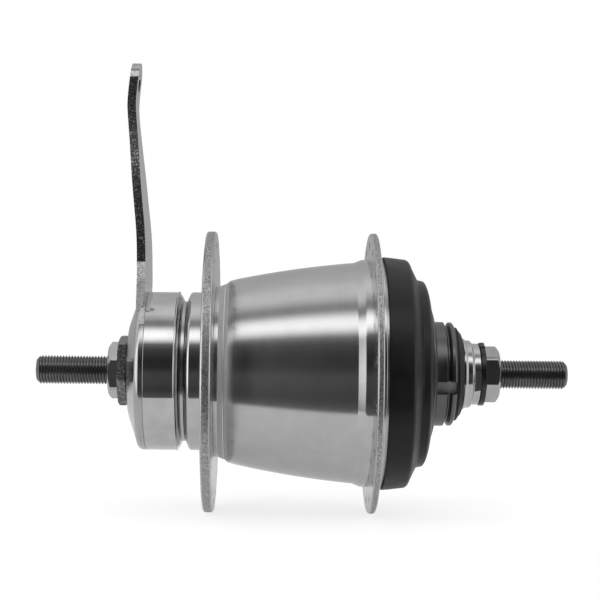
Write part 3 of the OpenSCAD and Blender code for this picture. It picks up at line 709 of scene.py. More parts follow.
BRUSHED = TurnedMetal("brushed_shell", 0.55, 0.2, 0.75, 0.12, 0.015, 0.0001, 0.02)
POLISHED = TurnedMetal("polished_ring", 0.56, 0.1, 0.4, 0.1, 0.03, 0.0002)
FLANGE = TurnedMetal("flange_plate", 0.54, 0.2, 0.3, 0.1, 0.03, 0.0002, 0.05)
CHROME = TurnedMetal("bright_chrome", 0.56, 0.05, 0.0, 0.3, 0.01, 0.0001, 0.05)
ARM_FACE = TurnedMetal("arm_polish", 0.45, 0.16, 0.0, 0.3, 0.03, 0.0002)
# Lighter speckled grey for the arm's edge below the highlight band.
ARM_FOOT = SpeckledSteel("arm_foot_lighter", 0.22, 0.75, 0.45, 0.8, 0.5, 0.01, 0.3)
# A painted highlight: white flecks on a dull coat, on the arm's edge near the foot and at the tip's top.
ARM_HIGHLIGHT = SpeckledSteel("arm_edge_painted_highlight", 0.16, 1.0, 0.45, 0.45, 0.35, 0.1, 0.0)
# A painted highlight: very light, rough metal laid on the cove's bead, standing in for its bright
# reflection.
RING_HIGHLIGHT = TurnedMetal("ring_painted_highlight", 0.9, 0.55, 0.0, 0.1, 0.05, 0.0003)
ARM_EDGE = SpeckledSteel("arm_cut_edge")
RIM = SpeckledSteel("flange_rim", 0.08, 0.7, 0.52, 0.25, 0.36, 0.05)
SLOT = CoatedBlack("driver_slot", 0.4, 0.7, 1.0, 0.3, 0.004, 0.05)
CONE = TurnedMetal("cone_plate", 0.53, 0.14, 0.3, 0.15, 0.05, 0.0006)
NUT = TurnedMetal("nut_plate", 0.48, 0.18, 0.0, 0.2, 0.04, 0.0004)
THREAD = TurnedMetal("thread_steel", 0.2, 0.3, 0.0, 0.1, 0.04, 0.0004)
OXIDE = CoatedBlack("black_oxide", 0.05, 0.35, 0.9, 0.2, 0.004, 0.01)
NUT_DARK = SpeckledSteel("arm_nut_steel", 0.08, 0.32, 0.58, 0.9, 0.28, 0.02)
CAP = CoatedBlack("cap_satin", 0.010, 0.4, 0.0, 0.22, 0.003, 0.003, 0.34)
DRIVER = CoatedBlack("driver_steel", 0.13, 0.34, 1.0, 0.2, 0.003, 0.02)
SEAL = CoatedBlack("seal_matt", 0.014, 0.55, 0.0, 0.3, 0.006, 0.004)
HARD = TurnedMetal("ground_steel", 0.5, 0.22, 0.2, 0.12, 0.05, 0.0003)
SHOE = SpeckledSteel("cast_shoe", 0.18, 0.5, 0.6, 0.4, 0.4, 0.03)
ROLLER = TurnedMetal("lapped_roller", 0.6, 0.07, 0.0, 0.2, 0.02, 0.0001)
CAGE = TurnedMetal("cage_brass", 0.55, 0.25, 0.0, 0.2, 0.05, 0.0003, 0.03, 0.35)
SPRING = TurnedMetal("spring_wire", 0.45, 0.18, 0.0, 0.2, 0.04, 0.0002)
PAWL = TurnedMetal("hardened_pawl", 0.4, 0.25, 0.0, 0.2, 0.04, 0.0003)

SLOT_FINISH = {
    "axle_steel": THREAD,
    "nut_steel": NUT,
    "black_steel": OXIDE,
    "arm_steel": ARM_FACE,
    "cover_chrome": CHROME,
    "shell_steel": BRUSHED,
    "flange_steel": FLANGE,
    "cap_black": CAP,
    "driver_black": DRIVER,
    "seal_black": SEAL,
    "hard_steel": HARD,
    "shoe_metal": SHOE,
    "roller_steel": ROLLER,
    "retainer_steel": CAGE,
    "spring_steel": SPRING,
    "pawl_steel": PAWL,
}


def dress(piece: Piece, *finishes: Finish) -> None:
    """Gives a piece its finishes, the first one all over.

    Args:
        piece: The piece.
        *finishes: The finishes.
    """
    piece.data.materials.clear()
    for finish in finishes:
        piece.data.materials.append(finish.material())


def dress_where(piece: Piece, slot: int, test: Callable[[Vector, Vector], bool]) -> None:
    """Gives one finish to the faces that pass a test.

    Args:
        piece: The piece, already dressed.
        slot: Number of the finish.
        test: Takes a face's centre in millimetres and its normal.
    """
    for face in piece.data.polygons:
        if test(face.center / MM, face.normal):
            face.material_index = slot


def stand_for(piece: Piece, node: str, body: Body) -> None:
    """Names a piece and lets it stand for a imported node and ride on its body.

    Args:
        piece: The piece.
        node: Name of the node.
        body: The body that it rides on.
    """
    piece.name = f"{node}_dressed"
    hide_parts(node)
    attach(piece, body.value)


def reach(node: str) -> Triple:
    """Gives a node's first and last station and its largest radius, in millimetres."""
    low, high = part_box(node)
    return low.x / MM, high.x / MM, high.z / MM


def serve(piece: Piece, node: str, body: Body, finish: Finish) -> None:
    """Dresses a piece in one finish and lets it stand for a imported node."""
    dress(piece, finish)
    stand_for(piece, node, body)


# The pieces, with their sizes in millimetres. A profile's corners are measured from a station and a radius.


@dataclass
class Shell:
    """The hub shell with its two spoke flanges."""

    neck_r: float = 26.35
    neck_face_r: float = 24.0
    neck_edge: Corners = ((0.9, -0.4, 0.25), (1.5, 0, 0.3))
    seam: float = 0.02
    cove_r: float = 28.5
    cove: Corners = ((-0.02, 0, 0.25), (1.36, 0, 0.1), (3.1, 0.8, 0.1), (3.3, 0.72, 0.08), (4.45, 1.8, 0))
    # Stations of the cove's bead, from the left flange's face, where a highlight is painted.
    satin: Pair = (1.3, 4.6)
    barrel_from: float = 7
    barrel_r: Triple = (31.0, 35.1, 36.8)
    flare: float = 5.4
    flare_from: Pair = (0.15, 0.03)
    flare_end: float = 2.8
    end_r: float = 37.9
    lip: float = 1.6
    bore_r: float = 32.2
    cup_r: float = 34.4
    step_x: Pair = (0.035, -5.465)
    drum_r: float = 26.5
    drum_x: float = -28.565
    opening_r: float = 14.3
    race: Triple = (-34.6, 18.2, 3.235)
    flange_r: float = 46.7
    left_face: Pair = (-32.9, -29.5)
    right_face: Pair = (21.4, 23.6)
    hole_circle: float = 42.5
    hole_r: float = 1.45
    holes: int = 18
    first_hole: float = 12.0

    def body(self) -> Piece:
        """Turns the shell: neck, cove, brushed barrel, flare and the bore behind them.

        Returns:
            The shell.
        """
        start, end, _ = reach("hub_shell")
        cup_x = reach("right_ball_cup")[0]
        face = self.left_face[1]
        barrel_x = face + self.barrel_from
        flare_x = self.right_face[0] - self.flare
        first_r, middle_r, last_r = self.barrel_r
        race_x, race_r, ball = self.race
        outline = rounded(
            [
                (start, race_r + ball, 0.2),
                (start, self.neck_face_r, 0.1),
                *placed(self.neck_edge, start, self.neck_r),
                (face - self.seam, self.neck_r, 0),
                *placed(self.cove, face, self.cove_r),
            ]
        )
        outline += bow((barrel_x, first_r), ((barrel_x + flare_x) / 2, middle_r), (flare_x, last_r), 20)
        outline += rounded(
            [
                (flare_x + self.flare_from[0], last_r + self.flare_from[1], 0),
                (flare_x + self.flare_end, self.end_r, 0.5),
                *((end, r, 0.15) for r in (self.end_r, self.cup_r)),
                *((cup_x, r, 0) for r in (self.cup_r, self.bore_r)),
                (self.step_x[0], self.bore_r, 0.5),
                (self.step_x[1], self.drum_r, 0.5),
                (self.drum_x, self.drum_r, 0.3),
                (self.drum_x, self.opening_r, 0),
                (race_x, self.opening_r, 0),
            ]
        )
        return turn_smooth(outline + groove(self.race, -90, 90, 12))

    def flange(self, node: str, outline: Corners, phase: float) -> None:
        """Turns a flange, drills its spoke holes and dresses it.

        Args:
            node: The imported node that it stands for.
            outline: Section of the flange.
            phase: Angle of the first hole from the top.
        """
        piece = turn(rounded(outline))
        span = (min(c[0] for c in outline) - 4, max(c[0] for c in outline) + 4)
        combine(piece, pins(self.holes, self.hole_circle, self.hole_r, span, phase), Join.CUT)
        round_edges(piece, 0.18, 2, 50)
        shade(piece)
        dress(piece, FLANGE, RIM)
        dress_where(piece, 1, lambda c, n: abs(n.x) < 0.4 and c.yz.length > self.flange_r - 0.3)
        stand_for(piece, node, Body.SHELL)

    def build(self) -> None:
        """Builds the shell and flanges, dresses them and lets them ride on the shell."""
        shell = self.body()
        dress(shell, BRUSHED, POLISHED, RING_HIGHLIGHT)
        ring, bright = (self.left_face[1] + x for x in self.satin)
        flare = self.right_face[0] - self.flare
        dress_where(shell, 1, lambda c, n: c.x < bright or c.x > flare)
        # Slot 2 paints a highlight on the cove's bead.
        dress_where(shell, 2, lambda c, n: ring < c.x < bright and c.yz.length > self.cove_r - 0.5)
        stand_for(shell, "hub_shell", Body.SHELL)
        x0, x1 = self.left_face
        section = [(x0, self.neck_r, 0), (x0, self.flange_r, 1.0), (x1, self.flange_r, 1.0)]
        section += [(x1, self.neck_r, 0)]
        self.flange("left_flange", section, self.first_hole)
        x0, x1 = self.right_face
        end = reach("right_flange")[1]
        lip_r = self.end_r + self.lip
        section = [(x0, self.end_r, 0), (x0, self.flange_r, 0.7), (x1, self.flange_r, 0.7)]
        section += [(x1, lip_r, 0.35), (end, lip_r, 0.35), (end, self.end_r, 0)]
        self.flange("right_flange", section, self.first_hole + 180 / self.holes)


@dataclass
class BrakeSide:
    """The brake arm with its dished base, and the chrome cover behind it."""

    arm_t: float = 2.8
    dish: tuple[float, float, float, float] = (9.0, 15.0, 24.0, 26.3)
    dish_x: float = -58.2
    dish_deep: float = 6.2
    hole_z: float = 96.0
    tip_r: float = 6.5
    hole_r: float = 3.0
    hole_x: float = -57.483
    lean: float = 5.12
    root_z: float = 8
    rise: float = 2
    # Heights of the band on the arm's edge where a highlight is painted.
    highlight_band: Pair = (29.7, 35.0)
    line: Line = (
        (10, -56.2), (21, -54.4), (27, -53.65), (34, -53.6), (45, -53.95), (58, -55.25), (76, -57.05),
        (84, -57.85), (88, -58.1), (92, -57.9), (97, -57.4), (103, -56.85),
    )
    half: Line = (
        (8, 17), (30, 15), (44, 14.2), (57.6, 13), (65.3, 11.9), (73.9, 8.9), (82.6, 6.9),
        (90, 6.5), (96, 6.5),
    )
    seam: float = 0.03
    root_top: float = 40
    clearance: float = 0.6
    front_z: tuple[float, ...] = (27, 33, 45, 58, 70, 80, 88, 96, 105)
    cover_wall: float = 1.5
    cover_hole_r: float = 23.3
    cover_web: float = 2.6
    cover_edge: Corners = (
        (-2.1, 0, 0.1), (-1.9, 0.25, 0.12), (-1.55, 0.25, 0.12), (-1.25, -0.7, 0.15),
        (-0.95, -0.95, 0.12), (-0.35, -2.0, 0.15), (-0.2, -2.5, 0.1),
    )
    bore: float = 4.8

    def blank(self, shrink: float) -> Piece:
        """Turns the dish as a solid.

        Args:
            shrink: Nothing for the outside, the plate's thickness for the inside.

        Returns:
            The solid.
        """
        _, flat, edge, rim = self.dish
        rim_x = self.dish_x + self.dish_deep
        face_x = self.dish_x + shrink
        flat_r = flat - shrink / 2
        outline: Outline = [(face_x, flat_r - 1.5)]
        outline += bow((face_x, flat_r - 1.4), (face_x, flat_r), (face_x + 0.5, flat_r + 1.5), 5)
        outline += [(self.dish_x + self.dish_deep / 2 + shrink * 0.8, edge - shrink)]
        outline += groove((rim_x - 0.8, edge - shrink, rim - edge), 150, 90, 8)
        outline += [(rim_x + (0.5 if shrink else 0), rim - shrink)]
        return turn(outline, ends=True)

    def blade(self) -> Piece:
        """Draws the blade upwards, section after section, from the dish to the round tip.

        Returns:
            The blade.
        """
        levels = [self.root_z + self.rise * i for i in range(44)]
        levels += [self.hole_z + self.tip_r * math.sin(math.radians(a)) for a in range(6, 90, 6)]
        first = levels[0]
        deselect()
        bpy.ops.mesh.primitive_plane_add(size=1, location=(follow(self.line, first) * MM, 0, first * MM))
        piece = bpy.context.object
        width = 2 * follow(self.half, first)
        piece.scale = (self.arm_t * MM, width * MM, 1)
        settle(piece)
        with editing(piece):
            for low, high in zip(levels, levels[1:]):
                here = follow(self.line, high)
                move = ((here - follow(self.line, low)) * MM, 0, (high - low) * MM)
                bpy.ops.mesh.extrude_region_move(TRANSFORM_OT_translate={"value": move})
                wide = 2 * follow(self.half, min(high, self.hole_z))
                if high > self.hole_z:
                    wide = 2 * math.sqrt(self.tip_r**2 - (high - self.hole_z) ** 2)
                middle = (here * MM, 0, high * MM)
                bpy.ops.transform.resize(value=(1, wide / width, 1), center_override=middle)
                width = wide
        close_up(piece)
        return piece

    def front(self) -> Piece:
        """Turns the space behind the dish's cone and the blade's front, which trims the blade's root.

        Returns:
            The space as a solid.
        """
        _, flat, edge, _ = self.dish
        cone_x = self.dish_x + self.dish_deep / 2
        outline: Outline = [(self.dish_x + self.seam, flat - 0.2), (cone_x + self.seam, edge)]
        for z in self.front_z:
            clear = 0.0 if z < self.root_top else self.clearance
            outline.append((follow(self.line, z) - self.arm_t / 2 - clear, z))
        outline.append((self.dish_x + 20, self.front_z[-1]))
        return turn(outline, ends=True)

    def arm(self) -> Piece:
        """Joins blade and dish, hollows the dish, drills both holes and rounds the edges.

        Returns:
            The arm.
        """
        arm = self.blade()
        combine(arm, self.front(), Join.TRIM)
        combine(arm, self.blank(0), Join.ADD)
        combine(arm, self.blank(self.arm_t), Join.CUT)
        bore_r = self.dish[0]
        bore = turn([(self.dish_x - 4, bore_r), (self.dish_x + 4, bore_r)], ends=True)
        combine(arm, bore, Join.CUT)
        deselect()
        bpy.ops.mesh.primitive_cylinder_add(
            vertices=48,
            radius=self.hole_r * MM,
            depth=0.02,
            location=(self.hole_x * MM, 0, self.hole_z * MM),
            rotation=(0, math.radians(90 + self.lean), 0),
        )
        combine(arm, added(), Join.CUT)
        round_edges(arm, 0.65, 4, 45)
        shade(arm, 32)
        return arm

    def cover(self) -> Piece:
        """Turns the chrome cover: skirt, bead, stepped bevel and the wall behind them.

        Returns:
            The cover.
        """
        start, end, _ = reach("brake_dust_cover")
        skirt = self.dish[3]
        inner = skirt - self.cover_wall
        hole_r = self.cover_hole_r
        outline = [(start, inner, 0.1), (start, skirt, 0.3), *placed(self.cover_edge, end, skirt)]
        outline += [(end, hole_r + 0.3, 0.1), (end, hole_r, 0.05)]
        outline += [(end - self.cover_web, hole_r, 0), (end - self.cover_web, inner, 0)]
        return turn_smooth(rounded(outline))

    def washer(self) -> Piece:
        """Turns the thin washer between the arm and its nut.

        Returns:
            The washer.
        """
        start, end, size = reach("arm_washer")
        outline = [(start, self.bore, 0.1), (start, size, 0.25), (end, size, 0.1), (end, self.bore, 0.1)]
        return turn_smooth(rounded(outline), 96)

    def build(self) -> None:
        """Builds and dresses the arm, its washer and the cover."""
        arm = self.arm()
        dress(arm, ARM_FACE, ARM_EDGE, ARM_FOOT, ARM_HIGHLIGHT)
        foot, highlight_top = self.highlight_band
        high = self.hole_z + 2.4
        # Slot 3 paints highlights: a band on the edge near the foot and a spot at the tip's top.
        dress_where(arm, 1, lambda c, n: abs(n.x) < 0.2 and highlight_top < c.z < high)
        dress_where(arm, 3, lambda c, n: abs(n.x) < 0.35 and (foot < c.z < highlight_top or abs(c.z - high) < 0.9))
        # Slot 2 makes the edge lighter below the highlight band.
        dress_where(arm, 2, lambda c, n: abs(n.x) < 0.35 and 16 < c.z < foot and abs(c.y) > 8)
        stand_for(arm, "brake_arm", Body.AXLE)
        serve(self.cover(), "brake_dust_cover", Body.AXLE, CHROME)
        serve(self.washer(), "arm_washer", Body.AXLE, NUT)


@dataclass
class Nut:
    """A hexagon nut with turned corners."""

    node: str
    flats: float
    turned: float
    corner: float
    chamfers: Pair
    finish: Finish
    slot: str
    bore: float = 4.8

    def blank(self, start: float, end: float) -> Piece:
        """Cuts a six-sided bar and turns one of its corners to its angle.

        Args:
            start: First station.
            end: Last station.

        Returns:
            The bar.
        """
        deselect()
        bpy.ops.mesh.primitive_cylinder_add(
            vertices=6,
            radius=self.flats / 2 / math.cos(math.radians(30)) * MM,
            depth=(end - start) * MM,
            location=((start + end) / 2 * MM, 0, 0),
            rotation=(0, math.pi / 2, 0),
        )
        nut = added()
        corner = max(nut.data.vertices, key=lambda v: v.co.yz.length).co
        nut.rotation_euler = (math.radians(self.turned) - math.atan2(corner.z, corner.y), 0, 0)
        settle(nut)
        return nut

    def build(self) -> None:
        """Turns the bar's corners, bores it, rounds its edges and dresses it."""
        start, end, _ = reach(self.node)
        nut = self.blank(start, end)
        left, right = self.chamfers
        outline = [
            (start - 0.01, self.corner - left),
            (start + left * 0.7, self.corner),
            (end - right * 0.7, self.corner),
            (end + 0.01, self.corner - right),
        ]
        combine(nut, turn(outline, 96, ends=True), Join.TRIM)
        wide = self.bore + 1.4
        outline = [(start - 1, wide), (start + 0.4, self.bore), (end - 0.4, self.bore), (end + 1, wide)]
        combine(nut, turn(outline, 64, ends=True), Join.CUT)
        round_edges(nut, 0.16, 2, 28)
        shade(nut, 30)
        serve(nut, self.node, Body.AXLE, self.finish)


@dataclass
class Axle:
    """The axle with its two threaded ends and the thick middle between them."""

    size: float = 4.75
    root: float = 4.22
    pitch: float = 0.977
    flank: float = 0.3
    crest: float = 0.12
    spare: float = 0.31
    core_r: float = 6.5
    core: Pair = (-39.05, 44.2)
    clips: Pair = (14.835, 39.3)
    clip_w: float = 0.8
    clip_deep: float = 0.6
    chamfer: float = 1.2

    def wind(self, start: float, turns: int) -> Piece:
        """Draws one ridge of the thread and winds it.

        Args:
            start: Station of the first ridge.
            turns: Number of turns.

        Returns:
            The open winding.
        """
        deselect()
        bpy.ops.mesh.primitive_plane_add(size=0.001, location=(start * MM, 0, self.root * MM))
        bar = added()
        depth = self.size - self.root
        foot = self.pitch - 2 * self.flank - self.crest
        with editing(bar):
            bpy.ops.mesh.merge(type="CENTER")
            for along, out in ((self.flank, depth), (self.crest, 0), (self.flank, -depth), (foot, 0)):
                step = {"value": (along * MM, 0, out * MM)}
                bpy.ops.mesh.extrude_vertices_move(TRANSFORM_OT_translate=step)
        pitch = self.pitch * MM
        sizes = {"screw_offset": pitch, "iterations": turns, "steps": 40, "render_steps": 40}
        apply_modifier(bar, "SCREW", axis="X", angle=2 * math.pi, **sizes)
        close_up(bar, 2e-6)
        return bar

    def thread(self, start: float, end: float, blunt_left: bool) -> Piece:
        """Winds a thread between two stations and trims it to the axle's end.

        Args:
            start: First station.
            end: Last station.
            blunt_left: True where the axle's chamfered end is the first station.

        Returns:
            The threaded bar.
        """
        bar = self.wind(start - 1.5, math.ceil((end - start + 3) / self.pitch))
        for station, way in ((start - self.spare, -1), (end + self.spare, 1)):
            plane = {"plane_co": (station * MM, 0, 0), "plane_no": (way, 0, 0)}
            with editing(bar):
                bpy.ops.mesh.bisect(use_fill=True, clear_outer=True, **plane)
        close_up(bar, 1e-7)
        tip = self.size + 0.1
        cut = self.chamfer + 0.1
        left, right = (tip - cut, tip) if blunt_left else (tip, tip - cut)
        outline = [(start, left), (start + cut, tip), (end - cut, tip), (end, right)]
        combine(bar, turn(outline, 64, ends=True), Join.TRIM)
        with editing(bar):
            bpy.ops.mesh.fill_holes(sides=0)
            bpy.ops.mesh.delete_loose()
        close_up(bar, 2e-6)
        return bar

    def middle(self) -> Piece:
        """Turns the thick middle with its two circlip grooves.

        Returns:
            The middle.
        """
        low, high = self.core
        inner = self.root + 0.3
        floor = self.core_r - self.clip_deep
        outline = [(low - 4, inner), (low, inner), (low, self.core_r)]
        for x in self.clips:
            far = x + self.clip_w
            outline += [(x, self.core_r), (x, floor), (far, floor), (far, self.core_r)]
        outline += [(high, self.core_r), (high, inner), (high + 4, inner)]
        return turn(outline, 64, ends=True)

    def build(self) -> None:
        """Builds the three stretches as one piece and dresses it."""
        start, end, _ = reach("axle")
        axle = self.middle()
        left = self.thread(start, self.core[0] - 2, True)
        right = self.thread(self.core[1] + 2, end, False)
        unite((axle, left, right))
        with editing(axle):
            bpy.ops.mesh.delete_loose()
        shade(axle, 30)
        serve(axle, "axle", Body.AXLE, THREAD)


@dataclass
class DriveSide:
    """The black cap, the driver with its seal, the cone and the tabbed washer."""

    seat_r: float = 17.4
    slot_w: float = 4.0
    slot_floor: float = 15.2
    slot_x: float = 43.05
    slot_phase: float = 103.0
    lug: Triple = (21, 24.4, 3)
    lug_phase: float = 60.0
    cup_race: Triple = (23.5, 27.0, 2.44)
    cone_race: Triple = (46.2, 11.0, 2.44)
    cavity_r: float = 14.0
    hub_r: float = 22.0
    web: Triple = (39.9, 42.1, 8.9)
    cap_wall: float = 1.5
    cap_mouth: float = 22.7
    cap_edge: Corners = ((0, -1.7, 0), (0, 0, 0.35), (2.4, -0.2, 0))
    cap_shoulder: Corners = ((7.4, -0.8, 0), (8.5, -1.15, 0), (8.9, -2.6, 0))
    cap_step: Corners = ((11, -6.8, 0), (11.3, -7.4, 0), (11.6, -7.55, 0))
    cap_dome: Corners = ((13.3, -7.9, 0), (14.6, -8.4, 0))
    cap_rim: Pair = (-0.35, -13.9)
    cap_inside: Corners = ((12.9, -9.4, 0.6), (10.2, -9.0, 0.4), (7.2, -2.5, 0.6), (2.0, -1.7, 0))
    shoulder: Corners = ((-9.35, 2.1, 0.2), (-8.75, 4.9, 0.25), (-7.6, 4.9, 0.3), (-6.85, 2.4, 0.3))
    seat: Corners = (
        (-6.6, 0, 0.15), (-3.2, 0, 0.2), (-2.7, -1.4, 0.15), (-2.3, -1.4, 0.15), (-1.5, -0.1, 0.2),
        (-0.5, -0.1, 0.2), (0, -0.7, 0.15),
    )
    seal_bore: float = 12.4
    seal_lip: Corners = (
        (0, 0, 0.1), (0.45, -0.05, 0.1), (0.55, -0.3, 0.08), (0.8, -0.3, 0.08), (0.9, -0.1, 0.08),
    )
    seal_steps: Corners = (
        (-1.4, -0.25, 0.2), (-1.1, -1.0, 0.1), (-0.85, -1.15, 0.1), (-0.6, -1.65, 0.15),
        (-0.25, -1.8, 0.1), (0, -2.3, 0.2),
    )
    bore: float = 4.8
    cone_r: float = 8.32
    cone_tip: Corners = ((-0.3, 10.2, 0.1), (0, 9.9, 0.1))
    cone_steps: Corners = (
        (52.6, 12.0, 0.15), (53.1, 12.0, 0.2), (53.7, 11.4, 0.15), (55.4, 11.2, 0.25), (55.9, 10.4, 0.2),
        (56.4, 10.3, 0.1),
    )
    flat_x: float = 56.1
    flat_half: float = 9.7
    flat_phase: float = 101.0
    washer_r: float = 10.5
    tab_phase: float = 20.0

    def cap(self) -> Piece:
        """Turns the stepped cap: skirt, shoulder, step, dome and the wall behind them.

        Returns:
            The cap.
        """
        start, end, skirt = reach("right_dust_cap")
        edge, shoulder, step, dome = (
            rounded(placed(profile, start, skirt))
            for profile in (self.cap_edge, self.cap_shoulder, self.cap_step, self.cap_dome)
        )
        rim = (end + self.cap_rim[0], skirt + self.cap_rim[1])
        outline = edge + bow(*shoulder, 8) + step + bow(*dome, rim, 10)
        corners = [(end, self.cap_mouth, 0), (end - self.cap_wall, self.cap_mouth, 0.2)]
        corners += [(end - 1.9, skirt - 13.5, 0.3), *placed(self.cap_inside, start, skirt)]
        return turn_smooth(outline + rounded(corners))

    def driver(self) -> Piece:
        """Turns the driver, adds its three lugs and mills the three sprocket slots.

        Returns:
            The driver.
        """
        start, end, _ = reach("driver")
        seat = self.seat_r
        race_x, race_r, _ = self.cup_race
        _, cone_r, ball = self.cone_race
        near, far, web_r = self.web
        outline = [(start, self.cavity_r), (start, self.hub_r), (race_x, self.hub_r)]
        outline += groove(self.cup_race, -90, 0, 8)
        corners = [(race_x + 3.6, race_r, 0), (race_x + 9, seat + 2.1, 0.5)]
        corners += [*placed(self.shoulder, end, seat), *placed(self.seat, end, seat)]
        outline += rounded([*corners, (end, cone_r + ball, 0)])
        outline += groove(self.cone_race, 90, 180, 8)
        outline += [(far, cone_r), (far, web_r), (near, web_r), (near, self.cavity_r)]
        piece = turn(outline)
        low, high, half = self.lug
        side = self.slot_w / 2
        for turned in (0, 120, 240):
            lug = block((start + 0.3, -half, low), (start + 3, half, high), self.lug_phase + turned)
            combine(piece, lug, Join.ADD)
            corner = (self.slot_x, -side, self.slot_floor)
            slot = block(corner, (end + 1, side, seat + 1), self.slot_phase + turned)
            combine(piece, slot, Join.CUT)
        round_edges(piece, 0.14, 2, 48)
        shade(piece)
        return piece

    def seal(self) -> Piece:
        """Turns the stepped seal at the driver's end.

        Returns:
            The seal.
        """
        start, end, size = reach("driver_seal")
        corners = [*placed(self.seal_lip, start, size), *placed(self.seal_steps, end, size)]
        return turn_smooth(rounded([(start, self.seal_bore, 0), *corners, (end, self.seal_bore, 0.1)]))

    def cone(self) -> Piece:
        """Turns the cone and mills its two spanner flats.

        Returns:
            The cone.
        """
        start, end, _ = reach("right_cone")
        race_x, race_r, _ = self.cone_race
        outline: Outline = [(start, self.bore), (start, self.cone_r), (race_x, self.cone_r)]
        outline += groove(self.cone_race, -90, 0, 8)
        tip = placed(self.cone_tip, end, 0)
        steps = self.cone_steps
        outline += rounded([(steps[0][0], race_r, 0), *steps, *tip, (end, self.bore, 0)])
        piece = turn(outline)
        for side in (0, 180):
            flat = block((self.flat_x, -15, self.flat_half), (end + 3, 15, 15), self.flat_phase + side)
            combine(piece, flat, Join.CUT)
        round_edges(piece, 0.12, 2, 45)
        shade(piece)
        return piece

    def tab_washer(self) -> Piece:
        """Turns the black washer and adds its tab.

        Returns:
            The washer.
        """
        start, end, _ = reach("lock_washer")
        size = self.washer_r
        outline = [(start, self.bore), (start, size), (end, size), (end, self.bore)]
        piece = turn(outline, 96)
        combine(piece, block((start, -2, size - 1), (end, 2, size + 0.2), self.tab_phase), Join.ADD)
        round_edges(piece, 0.22, 3, 45)
        shade(piece)
        return piece

    def build(self) -> None:
        """Builds and dresses the cap, driver, seal, cone and washer."""
        serve(self.cap(), "right_dust_cap", Body.SHELL, CAP)
        driver = self.driver()
        dress(driver, DRIVER, SLOT)
        floor = self.slot_floor + 0.1
        dress_where(driver, 1, lambda c, n: c.x > self.slot_x and abs(c.yz.length - floor) < 0.3)
        stand_for(driver, "driver", Body.DRIVER)
        serve(self.seal(), "driver_seal", Body.DRIVER, SEAL)
        serve(self.cone(), "right_cone", Body.AXLE, CONE)
        serve(self.tab_washer(), "lock_washer", Body.AXLE, OXIDE)


@dataclass
class Camera:
    """The camera at the photograph's angle."""

    lens: float = 88.6
    sensor: float = 36.0
    place: Triple = (-0.012, -0.4945, 0.0242)
    yaw: float = -1.2
    roll: float = -0.7

    def build(self) -> None:
        """Adds the camera and makes it the scene's own."""
        data = bpy.data.cameras.new("photo_camera")
        data.lens = self.lens
        data.sensor_width = self.sensor
        camera = bpy.data.objects.new("photo_camera", data)
        bpy.context.scene.collection.objects.link(camera)
        camera.location = self.place
        camera.rotation_euler = (math.pi / 2, math.radians(self.roll), math.radians(self.yaw))
        bpy.context.scene.camera = camera


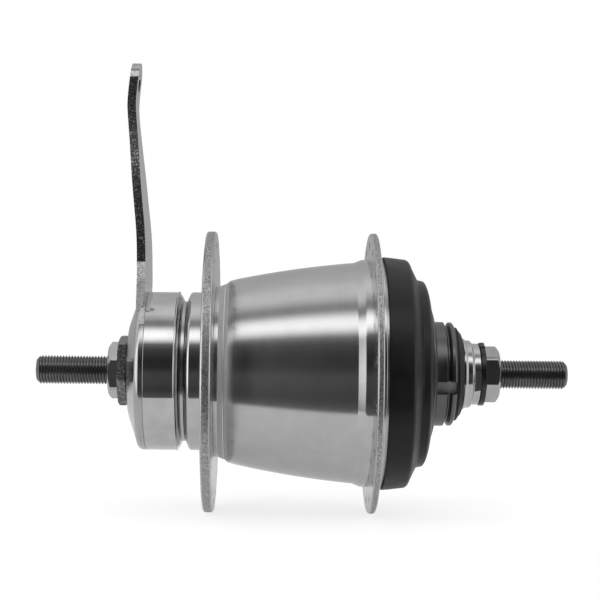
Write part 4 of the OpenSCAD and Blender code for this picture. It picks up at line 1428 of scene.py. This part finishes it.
@dataclass
class Studio:
    """A white tent with a gap for the camera, a long softbox above it and a pale floor."""

    floor_z: float = -0.0468
    floor_front: float = -0.078
    floor_size: float = 1.2
    floor_tone: float = 0.4
    floor_glow: float = 0.77
    glossy_share: float = 0.62
    window: float = 0.62
    left_fade: float = 0.05
    right_fade: float = 0.25
    right_share: float = 0.8
    front_light: Line = (
        (-180, 0.5), (-150, 0.5), (-125, 0.6), (-62, 0.9), (-51, 0.9), (-46, 0.5), (-40, 0.14),
        (-25, 0.06), (-14, 0.075), (-2, 0.085), (8, 0.035), (20, 0.035), (34, 0.08), (41, 0.2), (45, 0.8),
        (49, 1.4), (54, 1.75), (61, 1.6), (66, 0.95), (71, 0.36), (77, 0.32), (84, 0.6), (92, 0.85),
        (104, 0.85), (118, 0.65), (150, 0.5), (180, 0.45),
    )
    side_light: Line = (
        (-180, 0.5), (-150, 0.6), (-125, 0.85), (-60, 1.0), (-40, 1.2), (-25, 1.5), (30, 1.6),
        (45, 1.9), (54, 1.6), (62, 0.7), (70, 0.6), (80, 0.95), (104, 0.9), (150, 0.55), (180, 0.5),
    )

    def tent(self) -> None:
        """Paints the tent's light on the world, and shows the camera a white backdrop."""
        world = bpy.data.worlds.new("tent")
        bpy.context.scene.world = world
        world.use_nodes = True
        graph = Graph(world.node_tree)
        parts = graph.split(graph.place("Generated"))
        angle = graph.maths("ARCTAN2", parts["Z"], graph.maths("MULTIPLY", parts["Y"], -1))
        share = graph.maths("ADD", graph.maths("DIVIDE", angle, 2 * math.pi), 0.5)
        ahead, aside = (
            graph.ramp(share, [((degrees + 180) / 360, level) for degrees, level in light])
            for light in (self.front_light, self.side_light)
        )
        left = graph.spread(parts["X"], 1, 0, (-self.window - self.left_fade, -self.window + self.left_fade))
        right = graph.spread(parts["X"], 0, self.right_share, (self.window, self.window + self.right_fade))
        beside = graph.maths("MAXIMUM", left, right)
        mix = graph.add("Mix", {}, data_type="RGBA")
        graph.fill(mix, {"Factor": beside, "A": ahead, "B": aside})
        light = graph.add("Background", {"Color": mix.outputs["Result"]})
        white = graph.add("Background", {"Color": (1, 1, 1, 1)})
        seen = graph.add("LightPath", {}).outputs
        direct = graph.maths("MAXIMUM", seen["Is Camera Ray"], seen["Is Transmission Ray"])
        graph.finish(graph.add("MixShader", {0: direct, 1: light.outputs[0], 2: white.outputs[0]}), "World")

    def floor(self) -> None:
        """Lays the pale floor, which ends in front of the object and keeps its shadow."""
        deselect()
        bpy.ops.mesh.primitive_plane_add(
            size=self.floor_size,
            location=(0, self.floor_front + self.floor_size / 2, self.floor_z),
        )
        floor = added()
        floor.name = "floor"
        made = bpy.data.materials.new("floor_pale")
        made.use_nodes = True
        graph = Graph(made.node_tree)
        matt = graph.add("BsdfDiffuse", {"Color": (self.floor_tone, self.floor_tone, self.floor_tone, 1)})
        seen = graph.add("LightPath", {}).outputs
        glossy = graph.maths("MAXIMUM", seen["Is Glossy Ray"], seen["Is Transmission Ray"])
        weaker = graph.maths("MULTIPLY", glossy, self.glossy_share)
        shown = graph.maths("MAXIMUM", seen["Is Camera Ray"], weaker)
        glow = graph.add("Emission", {"Strength": graph.maths("MULTIPLY", shown, self.floor_glow)})
        graph.finish(graph.add("AddShader", {0: matt.outputs[0], 1: glow.outputs[0]}))
        floor.data.materials.append(made)

    def build(self) -> None:
        """Sets the light, the floor and the plain view settings."""
        self.tent()
        self.floor()
        bpy.context.scene.view_settings.view_transform = "Standard"


def dress_nodes() -> None:
    """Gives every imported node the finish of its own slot."""
    for name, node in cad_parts.items():
        slot = node.material_slots[0].material.name.split(".")[0]
        finish = SLOT_FINISH.get(slot)
        if finish is None:
            LOG.warning("no finish for %s on %s", slot, name)
            continue
        dress(node, finish)


def main() -> None:
    """Builds the sub-assemblies in order."""
    logging.basicConfig(level=logging.INFO)
    dress_nodes()
    flats = 2 * LOCKNUT_HALF
    parts = (
        Camera(),
        Studio(),
        Shell(),
        BrakeSide(),
        DriveSide(),
        Axle(),
        Nut("left_locknut", flats, 37, LOCKNUT_HALF + 1, (1.4, 0.01), NUT, "nut_steel"),
        Nut("arm_nut", 21, 12.2, 12, (0.8, 0.4), NUT_DARK, "black_steel"),
        Nut("right_locknut", flats, 23, LOCKNUT_HALF + 0.9, (0.3, 1.4), NUT, "nut_steel"),
    )
    for part in parts:
        part.build()
        LOG.info("built %s", type(part).__name__)


if __name__ == "__main__":
    main()
